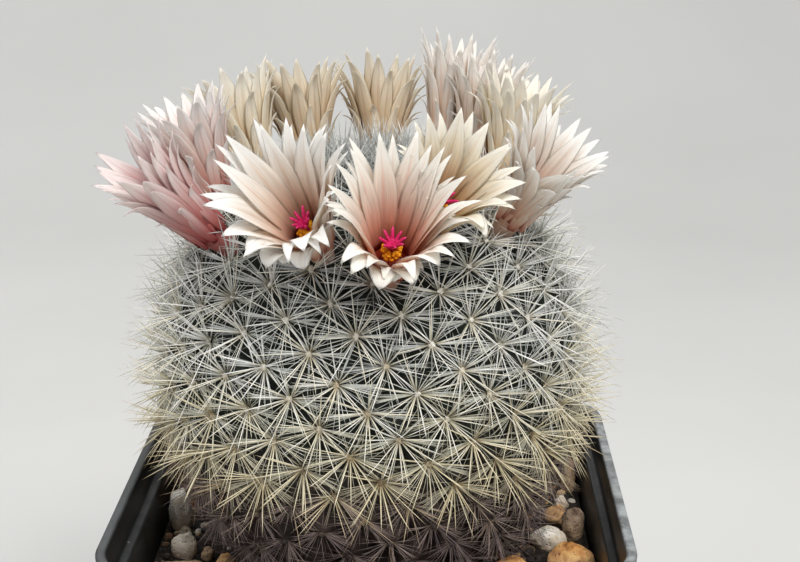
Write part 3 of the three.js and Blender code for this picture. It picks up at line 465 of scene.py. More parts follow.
def makeSoil():
    gap = soil["gap"]
    rows = []
    for z in (pot["floor"] + gap, pot["floor"] + 1.2, 20, 40, 60, soilZ - 1.4, soilZ - 0.6):
        wide, corner = potOutside(z)
        inset = pot["wall"] + gap + (0.8 if z < 2 else 0)
        rows.append((min(wide - inset, soil["widest"]), corner - pot["wall"], z))
    last = rows[-1]
    rows += [(last[0] * f, max(last[1] * f, last[0] * f * 0.3), soilZ) for f in np.linspace(0.995, 0.04, 46)]
    points, faces = squareLoft(rows)
    top = points[:, 2] > soilZ - 0.1
    points[top, 2] = soilHeight(points[top, 0], points[top, 1])
    # Peat with fine lava sand: nearly black, crumbly, never shiny
    peat = makeGrainedFinish("peat_and_lava_sand", 0.95, 1.4,
                             {"Scale": 900.0, "Detail": 8.0, "Roughness": 0.7}, soil["peat"], 0.9, 0.0012)
    makePiece("soil_bed", points, faces, peat, "soil", stands=["soil"])
    # Loose grains by a seeded draw: more small than large, none inside a stone or under the plant
    rng = np.random.default_rng(soil["seed"])
    count = soil["grains"] * 3
    field, (straight, bend) = soil["grainField"], soil["grainCorner"]
    xy = rng.uniform(-field, field, (count, 2))
    small, large = soil["grainSize"]
    size = small + (large - small) * rng.uniform(0, 1, count) ** 2.6
    clear = np.hypot(*xy.T) > soil["holeRadius"] + size
    clear &= np.hypot(*np.maximum(np.abs(xy) - straight, 0).T) < bend - size
    for x, y, length, breadth, *_ in stones.values():
        clear &= np.hypot(xy[:, 0] - x, xy[:, 1] - y) > (length + breadth) / 4 + size * 0.6
    xy, size = xy[clear][:soil["grains"]], size[clear][:soil["grains"]]
    lift = rng.uniform(-0.1, 0.35, len(xy)) * size
    centre = np.column_stack([xy, soilHeight(*xy.T) + lift])
    shape = size[:, None] * rng.uniform([0.75, 0.6, 0.5], [1.25, 1.0, 0.85], (len(xy), 3))
    points, faces, step = blobs(centre, shape, rng.uniform(0, 6.28, len(xy)), rng, 7, 3, 0.32)
    tone = np.repeat(rng.uniform(0, 1, len(xy)), step)
    # Mixed grit of lava, pumice, baked clay and quartz; each grain keeps one tone
    grit = makeMottledFinish("mixed_mineral_grit", 0.8, 1.5, "grain", soil["grit"],
                             {"Scale": 1500.0, "Detail": 4.0}, (0.55, 1.15), 0.5, 0.0004)
    makePiece("loose_grit", points, faces, grit, "soil", marks={"grain": tone}, smooth=False)
    finishes = {name: makeStoneFinish(name) for name in stoneTones}
    for name, (x, y, length, breadth, height, turn, tint) in stones.items():
        centre = np.array([[x, y, soilZ + stoneSeat * height]])
        shape = np.array([[length, breadth, height]]) / 2
        points, faces, _ = blobs(np.zeros((1, 3)), np.ones((1, 3)), np.zeros(1), rng,
                                 stoneCut["sides"], stoneCut["rings"], stoneCut["lump"])
        # Crushed faces: planes n.p = d cut the ball, their corners rounded by a power mean of n.p / d
        planes = unit(rng.normal(size=(stoneCut["planes"], 3)))
        cut = np.maximum(unit(points) @ planes.T, 0) / rng.uniform(*stoneCut["depth"], stoneCut["planes"])
        power = stoneCut["sharpness"]
        points *= np.minimum((cut ** power).sum(1) ** (-1 / power), stoneCut["most"])[:, None]
        points = points * shape
        c, s = math.cos(math.radians(turn)), math.sin(math.radians(turn))
        points = points @ np.array([[c, s, 0], [-s, c, 0], [0, 0, 1]])
        fine = np.sin(points @ rng.normal(size=(3, 24)) * 3.2 + rng.uniform(0, 6, 24)).mean(-1)
        points += unit(points) * fine[:, None] * stoneCut["fine"] + centre
        makePiece(name + "_rough", points, faces, finishes[tint], tint + "_stone", stands=[name])


makeSoil()
print("soil: done")

plant = {
    "radius": 37, "upperPower": 2.15, "lowerHeight": 45, "centre": 102.5, "foot": 61,
    "apexSpacing": 3.9, "spacing": 7.7, "growthZone": 26, "lowest": 68.5, "tubercle": 3.4,
    "rows": 190, "columns": 360, "flank": 0.6, "flankPower": 1.6, "plainBelow": 66, "plainFade": 6,
}


def meridian(count):
    # Above the middle a superellipse, (r/R)^p + (z/R)^p = 1; below it an ellipse, down to the foot
    share = (plant["foot"] - plant["centre"]) / plant["lowerHeight"]
    turn = np.linspace(0, math.acos(share), count)
    power = 2 / plant["upperPower"]
    above = turn < np.pi / 2
    c, s = np.cos(turn), np.abs(np.sin(turn))
    r = plant["radius"] * np.where(above, s ** power, s)
    z = plant["centre"] + np.where(above, plant["radius"] * np.abs(c) ** power, plant["lowerHeight"] * c)
    return r, z


def placeAreoles():
    # A spiral by the golden angle; each areole has 0.866 spacing^2 of skin, with less spacing near the top
    r, z = meridian(4000)
    arc = np.concatenate([[0], np.cumsum(np.hypot(np.diff(r), np.diff(z)))])
    young, grown = plant["apexSpacing"], plant["spacing"]
    spacing = young + (grown - young) * smoothStep(arc / plant["growthZone"])
    density = 2 * np.pi * r / (0.866 * spacing ** 2)
    tally = np.concatenate([[0], np.cumsum((density[1:] + density[:-1]) / 2 * np.diff(arc))])
    count = int(np.interp(plant["lowest"], z[::-1], tally[::-1]))
    order = np.arange(count) + 0.5
    rr, zz, ss = (np.interp(order, tally, v) for v in (r, z, spacing))
    slopeR = np.interp(order, tally, np.gradient(r, arc))
    slopeZ = np.interp(order, tally, np.gradient(z, arc))
    turn = np.arange(count) * goldenAngle
    out = np.stack([np.cos(turn), np.sin(turn), np.zeros(count)], -1)
    point = out * rr[:, None] + np.array([0, 0, 1]) * zz[:, None]
    normal = unit(out * -slopeZ[:, None] + np.array([0, 0, 1]) * slopeR[:, None])
    east = np.stack([-np.sin(turn), np.cos(turn), np.zeros(count)], -1)
    north = np.cross(normal, east)
    return {"point": point, "normal": normal, "east": east, "north": north, "spacing": ss}


areoles = placeAreoles()
print("areoles:", len(areoles["point"]))


def makeSkinFinish():
    # Waxy succulent skin: grey-green darkened almost to black, partly its own colour and partly painted
    # shade of the spines over it; flecked with pale wax, going corky and purple-brown near the soil
    finish, tree, shader, _ = newFinish("waxy_green_skin", 0.7, 1.4)
    place = addNode(tree, "TexCoord").outputs["Object"]
    height = addNode(tree, "SeparateXYZ", {"Vector": place}).outputs["Z"]
    mottle = addNode(tree, "TexNoise", {"Vector": place, "Scale": 300.0, "Detail": 5.0, "Roughness": 0.6})
    # Painted shade: the green stops are darkened nearly to black for the shade the spines cast over the skin
    green = addNode(tree, "ValToRGB", {"Fac": mottle},
                    stops=[(0.3, "#070a06"), (0.5, "#0e140c"), (0.7, "#1b2416")])
    cork = addNode(tree, "ValToRGB", {"Fac": mottle},
                   stops=[(0.3, "#1b1514"), (0.5, "#362b27"), (0.72, "#5d4d44")])
    # Cork takes over as the level falls from 93 mm to 80 mm; mottling makes that edge wander by up to 14 mm
    wander = addNode(tree, "Math", {0: mottle, 1: 0.014}, operation="MULTIPLY")
    level = addNode(tree, "Math", {0: height, 1: wander}, operation="SUBTRACT")
    old = addNode(tree, "MapRange", {"Value": level, "From Min": 0.093, "From Max": 0.08})
    colour = addNode(tree, "MixRGB", {"Fac": old, "Color1": green, "Color2": cork})
    # Wax flecks about a fifth of a millimetre wide
    flecks = addNode(tree, "TexVoronoi", {"Vector": place, "Scale": 1700.0})
    fleck = addNode(tree, "MapRange", {"Value": flecks, "From Min": 0.2, "From Max": 0.1, "To Max": 0.3})
    waxed = addNode(tree, "MixRGB", {"Fac": fleck, "Color1": colour, "Color2": linear("#6d7a60")})
    coverSurface(tree, shader, waxed, mottle, 0.35, 0.0004)
    return finish


def makeStem():
    # The meridian turned about Z; a point sinks by tubercle * (distance to the nearest areole)^flankPower
    rows, columns = plant["rows"], plant["columns"]
    r, z = meridian(rows + 1)
    r, z = r[:0:-1], z[:0:-1]
    turn = turns(columns)
    out = np.stack([np.cos(turn), np.sin(turn), np.zeros(columns)], -1)
    points = out[None] * r[:, None, None]
    points[..., 2] = z[:, None]
    points = points.reshape(-1, 3)
    centres, spacing = areoles["point"], areoles["spacing"]
    squared = (points ** 2).sum(-1)[:, None] + (centres ** 2).sum(-1) - 2 * points @ centres.T
    nearest = squared.argmin(1)
    reach = np.sqrt(np.maximum(squared[np.arange(len(points)), nearest], 0))
    share = np.clip(reach / (plant["flank"] * spacing[nearest]), 0, 1) ** plant["flankPower"]
    sink = plant["tubercle"] * spacing[nearest] / plant["spacing"] * share
    sink *= smoothStep((points[:, 2] - plant["plainBelow"]) / plant["plainFade"])
    middle = np.array([0, 0, plant["centre"] - 5])
    points -= unit(points - middle) * sink[:, None]
    points = np.concatenate([points, [[0, 0, plant["foot"]], [0, 0, points[:, 2].max()]]])
    makePiece("tubercled_stem", points, skinFaces(rows, columns), makeSkinFinish(), "cactus_skin",
              stands=["cactus_body"])


makeStem()
print("stem: done")

# Where each bloom stands, in the CAD's own terms
bloomTable = [  # degrees from the front, ring radius, lean out, lean round, length, mouth, sag, finish
    (8, 29, 42, 0, 24.5, 11, 0.95, "rose"),
    (25, 23, 46, 0, 21, 9.6, 0.3, "butter"),
    (61, 25.7, 39, -6, 21.5, 10, -0.8, "peach"),
    (100, 23.3, 12, 0, 22, 8.8, 0.0, "butter"),
    (131, 24.5, 11, 0, 24.5, 8, 0.0, "blush"),
    (150, 26, 14, 0, 28, 7.5, 0.0, "blush"),
    (178, 24, 23, -1, 21.5, 11, 0.0, "sand"),
    (208, 24, 21, 0, 21.5, 10.5, 0.0, "sand"),
    (233, 25, 22, 2, 22.5, 9.5, 0.0, "butter"),
    (266, 26, 19, 2, 22, 9, 0.0, "shell"),
    (302, 27.5, 49, -4, 24, 9.2, -1.0, "pink"),
    (345, 26.2, 47, -3, 25, 10.8, 1.0, "peach"),
]
bloomDepth = 1  # of a bloom's base below the tips of the tubercles
bloomRoom = {  # radii and heights; petals are taken as share of the way from the cup out to the mouth
    "tube": 2.5, "cup": 3.5, "cupFrom": 2.5, "cupOver": 4, "opensFrom": 5, "share": 0.65,
    "under": -3, "past": 2,
}


def settleBlooms():
    up = np.array([0.0, 0.0, 1.0])
    settled = {}
    for n, (at, ring, lean, turn, length, mouth, sag, tint) in enumerate(bloomTable):
        a, tilt, swing = (math.radians(v) for v in (at, lean, turn))
        out = np.array([math.sin(a), -math.cos(a), 0.0])
        along = np.array([math.cos(a), math.sin(a), 0.0])
        power = plant["upperPower"]
        z = plant["centre"] + plant["radius"] * (1 - (ring / plant["radius"]) ** power) ** (1 / power)
        axis = math.cos(tilt) * up + math.sin(tilt) * out
        axis = math.cos(swing) * axis + math.sin(swing) * along
        side = np.cross(along, axis)
        settled["flower_%02d" % (n + 1)] = {
            "base": out * ring + up * (z - bloomDepth), "axis": axis, "side": side,
            "across": np.cross(axis, side), "length": length, "mouth": mouth, "sag": sag, "tint": tint,
        }
    return settled


blooms = settleBlooms()


def insideBloom(points, spare):
    # True where a point is nearer a bloom's axis than its tube, its cup or its opening petals
    room = bloomRoom
    hit = np.zeros(points.shape[:-1], bool)
    for bloom in blooms.values():
        offset = points - bloom["base"]
        h = offset @ bloom["axis"]
        r = np.linalg.norm(offset - h[..., None] * bloom["axis"], axis=-1)
        flare = np.clip((h - room["opensFrom"]) / (bloom["length"] - room["opensFrom"]), 0, 1)
        widening = np.clip((h - room["cupFrom"]) / room["cupOver"], 0, 1)
        reach = room["tube"] + (room["cup"] - room["tube"]) * widening
        reach = reach + room["share"] * (bloom["mouth"] - room["cup"]) * flare
        hit |= (h > room["under"]) & (h < bloom["length"] + room["past"]) & (r < reach + spare)
    return hit


spineKinds = [
    # Fine ones combed to the sides, then stiff ones. For each: number round an areole, lengths, degrees off
    # the skin, radius, comb, start from the areole's middle, (sides, rings, taper), share of the droop,
    # shares of length, width and number left on the old belt, tones from the crown to the foot of that belt
    {
        "finish": "fine_white_bristle", "count": 46, "length": (6.2, 8.4), "rise": (4, 26), "radius": 0.086,
        "comb": 0.62, "start": 0.45, "shape": (3, 4, 0.75), "droop": 1.0, "left": (0.8, 0.7, 1.0),
        "pieces": ["radial_bristles_crown", "radial_bristles_girdle", "radial_bristles_skirt"],
        # The first, grey tone is painted shade that the blooms cast on the crown
        "tones": [(0.0, "#a3a5a2"), (0.12, "#eceeec"), (0.3, "#e3e1cf"), (0.6, "#d2caae"),
                  (0.75, "#bda99a"), (0.9, "#b09c96"), (1.0, "#8a7970")],
    },
    {
        "finish": "stiff_ivory_spine", "count": 15, "length": (8.2, 10.8), "rise": (20, 64), "radius": 0.13,
        "comb": 0.0, "start": 0.25, "shape": (4, 4, 0.8), "droop": 0.5, "left": (0.8, 0.6, 0.25),
        "pieces": ["central_spines"],
        # The first, grey tone is painted shade that the blooms cast on the crown
        "tones": [(0.0, "#b9bab5"), (0.12, "#f6f6f3"), (0.35, "#ede5ca"), (0.62, "#e4d6b0"),
                  (0.78, "#c4ab88"), (0.92, "#8f7d7e"), (1.0, "#6d5f62")],
    },
]
spine = {
    "seed": 77, "jitter": 0.6, "splay": 0.45, "droop": 0.1, "sway": 0.25, "rootDepth": 0.3,
    "widthSpread": (0.8, 1.15), "ageSpread": 0.05,
    # On young areoles: radians more upright, shares of length and width, and how fast their number grows
    "youngRise": 0.9, "youngLength": 0.45, "youngWidth": 0.6, "youngPower": 1.1,
    "down": 0.4, "downBelow": 106, "downFade": 18,  # low on the plant they point down
    # Beyond these half widths a spine would cross the rim or the wall; it is raised to aboveSoil and dropped
    # below leastAbove or this near a stone
    "insideRim": 42.3, "insideLedge": 40.8, "aboveSoil": 0.8, "leastAbove": 0.4, "offStone": 0.3,
    "beltTop": 91, "beltStart": 1.5, "beltFade": 5,  # the plant is old below beltTop
}


def makeSpineFinish(name, tones):
    # Dry lignin: grey on the crown as painted shade of the blooms, glassy white when young, then cream, then
    # grey-brown; a little light passes through it
    finish, tree, shader, output = newFinish(name, 0.42, 1.5)
    age = addNode(tree, "Attribute", attribute_name="age").outputs["Fac"]
    along = addNode(tree, "Attribute", attribute_name="along").outputs["Fac"]
    tone = addNode(tree, "ValToRGB", {"Fac": age}, stops=tones)
    # The last fifth of each spine and its very root are a little darker
    root = addNode(tree, "ValToRGB", {"Fac": along},
                   stops=[(0.0, "#dccdb0"), (0.12, "#f2eee4"), (0.3, "#ffffff"), (0.8, "#ffffff"),
                          (1.0, "#dccdb2")])
    colour = addNode(tree, "MixRGB", {"Fac": 0.8, "Color1": tone, "Color2": root}, blend_type="MULTIPLY")
    tree.links.new(colour.outputs[0], shader.inputs["Base Color"])
    letLightThrough(tree, shader, output, colour, 0.25)
    return finish


def spineAgeAndCrownShade():
    # 0 on the crown, grey there as painted shade of the blooms, 0.62 at the top of the old belt by the soil,
    # 1 at its foot
    z = areoles["point"][:, 2]
    heights = [68, spine["beltTop"] - 4, spine["beltTop"], 100, 113, 132, 138]
    return np.interp(z, heights, [1.0, 0.86, 0.62, 0.32, 0.16, 0.13, 0.0])


def spineSet(kind, rng):
    # One kind of spine round each areole, as headings in its own frame; young and old areoles have fewer
    total, count, left = len(areoles["point"]), kind["count"], kind["left"]
    n = np.arange(count)
    jitter = rng.uniform(-spine["jitter"], spine["jitter"], (total, count))
    around = 2 * np.pi * (n + jitter) / count + rng.uniform(0, 6.28, (total, 1))
    around = around - kind["comb"] * np.sin(2 * around)
    rise = np.radians(rng.uniform(*kind["rise"], (total, count)))
    growth = (areoles["spacing"] / plant["spacing"])[:, None]
    young = 1 - growth
    rise = rise + young * spine["youngRise"]
    height = areoles["point"][:, 2:3]
    worn = smoothStep((spine["beltTop"] + spine["beltStart"] - height) / spine["beltFade"])
    shorter, thinner = (spine[k] + (1 - spine[k]) * growth for k in ("youngLength", "youngWidth"))
    length = rng.uniform(*kind["length"], (total, count)) * shorter * (1 - (1 - left[0]) * worn)
    east, north, normal = (areoles[k][:, None] for k in ("east", "north", "normal"))
    flat = east * np.cos(around)[..., None] + north * np.sin(around)[..., None]
    heading = flat * np.cos(rise)[..., None] + normal * np.sin(rise)[..., None]
    heading[..., 2] -= spine["down"] * smoothStep((spine["downBelow"] - height) / spine["downFade"])
    heading += rng.normal(0, spine["splay"], heading.shape) * worn[..., None]
    heading = unit(heading)
    root = areoles["point"][:, None] + flat * kind["start"] - normal * spine["rootDepth"]
    droop = -normal * rng.uniform(0.0, spine["droop"], (total, count, 1)) * length[..., None]
    droop = droop + rng.normal(0, spine["sway"], (total, count, 3))
    wide = rng.uniform(*spine["widthSpread"], (total, count))
    thick = kind["radius"] * wide * thinner * (1 - (1 - left[1]) * worn)
    kept = rng.uniform(0, 1, (total, count)) < growth ** spine["youngPower"] * (1 - (1 - left[2]) * worn)
    age = spineAgeAndCrownShade()[:, None] + rng.normal(0, spine["ageSpread"], (total, 1))
    age = np.clip(age + rng.normal(0, spine["ageSpread"], (total, count)), 0, 1)
    return [v[kept] for v in (root, heading, length, thick, droop, age)]


def clearSpines(root, heading, length, thick, droop, age):
    # Raise what would dip into the soil, then drop what crosses a bloom, a stone or the pot
    lowest = soilZ + spine["aboveSoil"]
    need = (lowest - root[:, 2] - droop[:, 2]) / length
    low = heading[:, 2] < need
    heading = heading.copy()
    heading[low, 2] = np.clip(need[low], -1, 0.9)
    flat = np.linalg.norm(heading[:, :2], axis=1)
    scale = np.sqrt(np.maximum(1 - heading[:, 2] ** 2, 1e-4)) / np.maximum(flat, 1e-6)
    heading[low, :2] *= scale[low, None]
    t = np.linspace(0.15, 1, 6)[None, :, None]
    samples = root[:, None] + heading[:, None] * length[:, None, None] * t + droop[:, None] * t ** 2
    bad = insideBloom(samples, -0.8).any(1)
    sideways = np.abs(samples[..., :2]).max(-1)
    inPot = (samples[..., 2] < rimZ + 1) & (sideways > spine["insideRim"])
    inPot |= (samples[..., 2] < rimZ - 5) & (sideways > spine["insideLedge"])
    bad |= inPot.any(1) | (samples[:, -1, 2] < soilZ + spine["leastAbove"])
    for x, y, a, b, c, *_ in stones.values():
        gap = (samples - [x, y, soilZ + stoneSeat * c]) / (np.array([a, b, c]) / 2 + spine["offStone"])
        bad |= ((gap ** 2).sum(-1) < 1).any(1)
    keep = ~bad
    return [v[keep] for v in (root, heading, length, thick, droop, age)]


def makeSpines():
    rng = np.random.default_rng(spine["seed"])
    for kind in spineKinds:
        finish = makeSpineFinish(kind["finish"], kind["tones"])
        spines = clearSpines(*spineSet(kind, rng))
        # Areoles run from the top down, so equal parts of the list are bands of the plant
        bands = np.array_split(np.arange(len(spines[0])), len(kind["pieces"]))
        for name, band in zip(kind["pieces"], bands):
            root, heading, length, thick, droop, age = (v[band] for v in spines)
            points, faces, along, step = rods(root, heading, length, thick, droop * kind["droop"],
                                              *kind["shape"])
            makePiece(name, points, faces, finish, "cactus_skin",
                      marks={"age": np.repeat(age, step), "along": along})
            print(name + ":", len(root))


makeSpines()

felt = {
    "radius": 0.55, "height": 0.2, "rings": 4, "sides": 8, "ragged": (0.45, 1.5), "seed": 9,
    "tones": [(0.0, "#dcd7c9"), (0.35, "#cbbfa3"), (0.62, "#ac9470"), (0.85, "#4a3a30"), (1.0, "#3a2d26")],
}


def makeFelt():
    # Woolly felt: a dull matt tuft, white on young areoles, tan on grown ones and dark brown on the oldest
    finish = makeMottledFinish("areole_felt", 0.95, 1.45, "age", felt["tones"],
                               {"Scale": 4200.0, "Detail": 3.0}, (0.6, 1.1), 0.8, 0.0003, sheen=0.4)
    rng = np.random.default_rng(felt["seed"])
    growth = areoles["spacing"] / plant["spacing"]
    total = len(growth)
    # A ragged dome: rings of radius R sin(a) at height H cos(a) along the areole's normal
    rings, sides = felt["rings"], felt["sides"]
    polar = np.linspace(np.pi * 0.62, np.pi * 0.12, rings)
    angle = turns(sides)
    ragged = rng.uniform(*felt["ragged"], (total, rings, sides))
    wide = felt["radius"] * growth[:, None, None] * np.sin(polar)[None, :, None] * ragged
    high = felt["height"] * growth[:, None] * np.cos(polar)[None]
    east, north, normal = (areoles[k][:, None, None] for k in ("east", "north", "normal"))
    flat = east * np.cos(angle)[:, None] + north * np.sin(angle)[:, None]
    points = areoles["point"][:, None, None] + flat * wide[..., None] + normal * high[:, :, None, None]
    top = areoles["point"] + areoles["normal"] * (felt["height"] * growth)[:, None]
    foot = areoles["point"] - areoles["normal"] * 0.6
    points = np.concatenate([points.reshape(total, -1, 3), foot[:, None], top[:, None]], 1)
    step = points.shape[1]
    faded = np.clip((118 - areoles["point"][:, 2]) / 40 + rng.normal(0, 0.13, total), 0, 1)
    makePiece("areole_tufts", points.reshape(-1, 3), repeated(skinFaces(rings, sides), total, step), finish,
              "cactus_skin", marks={"age": np.repeat(faded, step)}, smooth=False)


makeFelt()
print("spines: done")

flower = {
    # For each row: petals, share of the length, how far open at the root and at the tip as shares of the
    # bloom's own opening, hook of the tip in radians, half width, place round the axis
    "rows": [
        (11, 1.03, 0.55, 1.3, 0.2, 2.05, 0.0), (11, 0.99, 0.6, 1.45, 0.5, 1.8, 0.5),
        (10, 0.88, 0.6, 1.55, 0.9, 1.5, 0.25), (8, 0.62, 0.45, 1.3, 1.0, 1.2, 0.6),
    ],
    "rootRadius": (2.7, 2.9, 3.1, 3.2), "rootHeight": (5.4, 5.0, 4.4, 3.4), "hookFrom": 0.68,
    # A sagging bloom's low petals: how much further they open, how much shorter they are, more hook, the
    # outer rows' share of all that, and how much wider they are. Where the sag is negative the plant holds
    # them up, and they are shorter by heldShort; a neighbour stunts them by crowdShort
    "sagOpen": 0.75, "sagShort": 0.6, "sagHook": 1.5, "sagOuter": 0.25, "sagWide": 0.35, "heldShort": 0.1,
    "crowdShort": 0.9, "sagOverlap": 3,
    # Chance's share in a petal's opening, length, hook and width
    "openSpread": (0.9, 1.1), "lengthSpread": (0.96, 1.05), "hookSpread": (0.5, 1.4),
    "widthSpread": (0.88, 1.12), "mouthRadius": 3, "mouthHeight": 6, "overlap": (1.2, 1.2, 2.0, 2.0),
    "leastRoom": 0.4, "leastGrown": 0.6, "stations": 14, "section": 8, "seed": 400,
    "lap": 0.14, "thickness": 0.15, "thinTip": 0.55, "thinEdge": 0.5,
    "groove": 0.16, "grooveWidth": 0.3, "fold": 0.16, "twist": 0.14, "sway": 0.6, "wallReach": 10,
    # Tube: radius, height and shade, out of the plant, up to the mouth, over its edge and down the throat
    "tube": [
        (1.6, -2.2, 0.35), (2.0, -0.5, 0.3), (2.3, 2.5, 0.25), (3.0, 4.5, 0.2), (3.5, 6.3, 0.15),
        (3.45, 6.7, 0.12), (3.25, 6.75, 0.1), (2.9, 6.0, 0.05), (2.4, 4.6, 0.0), (1.8, 3.1, 0.0),
    ],
    "tubeSides": 28,
}
stamen = {
    "count": 42, "rootRadius": 1.95, "rootHeight": 3.7, "spread": (0.55, 0.95), "tipHeight": 8.1,
    "fall": 0.5, "heightSpread": (-0.5, 0.4), "radius": 0.09, "shape": (4, 3, 0.3),
    "sac": 0.36, "sacSpread": (0.8, 1.2), "sacShape": (8, 4, 0.2),
}
stigma = {
    "lobes": 8, "hub": 8.6, "rise": (1.5, 2.8), "length": (3.3, 4.1), "radius": 0.42, "bend": (0.35, -0.15),
    "lobeShape": (8, 7, 0.6), "styleFrom": 3.2, "styleLength": 6.0, "styleShape": (10, 5, 0.1),
    "tones": [(0.3, "#a30f4a"), (0.5, "#c5205f"), (0.7, "#dc4a86")],
}
petalTones = {  # throat, glow above it, blade, tip, midrib
    "rose": ("#cc4c32", "#f8bfa2", "#fcebdc", "#fffcf5", "#e8a892"),
    "peach": ("#cf7660", "#f0cfb5", "#faf0e4", "#fefcf8", "#e6c4a6"),
    "butter": ("#d4844f", "#f4d7a8", "#fcf2db", "#fefaf0", "#e4c495"),
    "blush": ("#cb7860", "#eac0a2", "#f4e0cb", "#fdf9f3", "#d8a585"),
    "sand": ("#b47a52", "#dfc096", "#efddbe", "#faf3e4", "#c99d6c"),
    "shell": ("#b95c50", "#e4ab9c", "#f3dcd2", "#fdf9f6", "#d8a294"),
    "pink": ("#b34444", "#d2807a", "#e6bcb7", "#f8eeeb", "#c9827d"),
}


def makePetalFinish(name):
    # Petal tissue: thin, satin, lets light through; veins run from the throat to the tip
    throat, glow, blade, tip, midrib = petalTones[name]
    finish, tree, shader, output = newFinish("%s_petal_tissue" % name, 0.45, 1.4)
    mark = addNode(tree, "Attribute", attribute_name="petal").outputs["Vector"]
    across, along, _ = addNode(tree, "SeparateXYZ", {"Vector": mark}).outputs
    tone = addNode(tree, "ValToRGB", {"Fac": along},
                   stops=[(0.0, throat), (0.24, glow), (0.5, blade), (0.8, tip)])
    # Veins about a quarter of a millimetre apart, drawn out along the petal
    stretched = addNode(tree, "VectorMath", {0: mark, 1: (7.0, 1.2, 40.0)}, operation="MULTIPLY")
    veins = addNode(tree, "TexNoise", {"Vector": stretched, "Scale": 2.2, "Detail": 3.0})
    vein = addNode(tree, "MapRange", {"Value": veins, "From Min": 0.35, "From Max": 0.7,
                                      "To Min": 1.04, "To Max": 0.84})
    # The midrib shows as a darker stripe that fades before the tip
    off = addNode(tree, "Math", {0: across}, operation="ABSOLUTE")
    near = addNode(tree, "MapRange", {"Value": off, "From Min": 0.22, "From Max": 0.0, "To Max": 0.42},
                   interpolation_type="SMOOTHSTEP")
    fade = addNode(tree, "MapRange", {"Value": along, "From Min": 0.98, "From Max": 0.55})
    rib = addNode(tree, "Math", {0: near, 1: fade}, operation="MULTIPLY")
    striped = addNode(tree, "MixRGB", {"Fac": rib, "Color1": tone, "Color2": linear(midrib)})
    colour = addNode(tree, "MixRGB", {"Fac": 1.0, "Color1": striped, "Color2": vein}, blend_type="MULTIPLY")
    coverSurface(tree, shader, colour, veins, 0.4, 0.0003)
    letLightThrough(tree, shader, output, colour, 0.45)
    return finish


def roundAxis(bloom, turn):
    # Headings square to the bloom's axis
    return bloom["side"] * np.cos(turn)[:, None] + bloom["across"] * np.sin(turn)[:, None]


def wallsOf(bloom):
    # Planes half way to the neighbouring blooms
    walls = []
    head = bloom["base"] + bloom["axis"] * bloom["length"]
    for other in blooms.values():
        otherHead = other["base"] + other["axis"] * other["length"]
        apart = otherHead - head
        if other is bloom or np.linalg.norm(apart) > bloom["mouth"] + other["mouth"] + flower["wallReach"]:
            continue
        normal = unit(unit(apart) + unit(other["base"] - bloom["base"]))
        middle = (head + otherHead + bloom["base"] + other["base"]) / 4
        walls.append((normal, middle @ normal))
    return walls


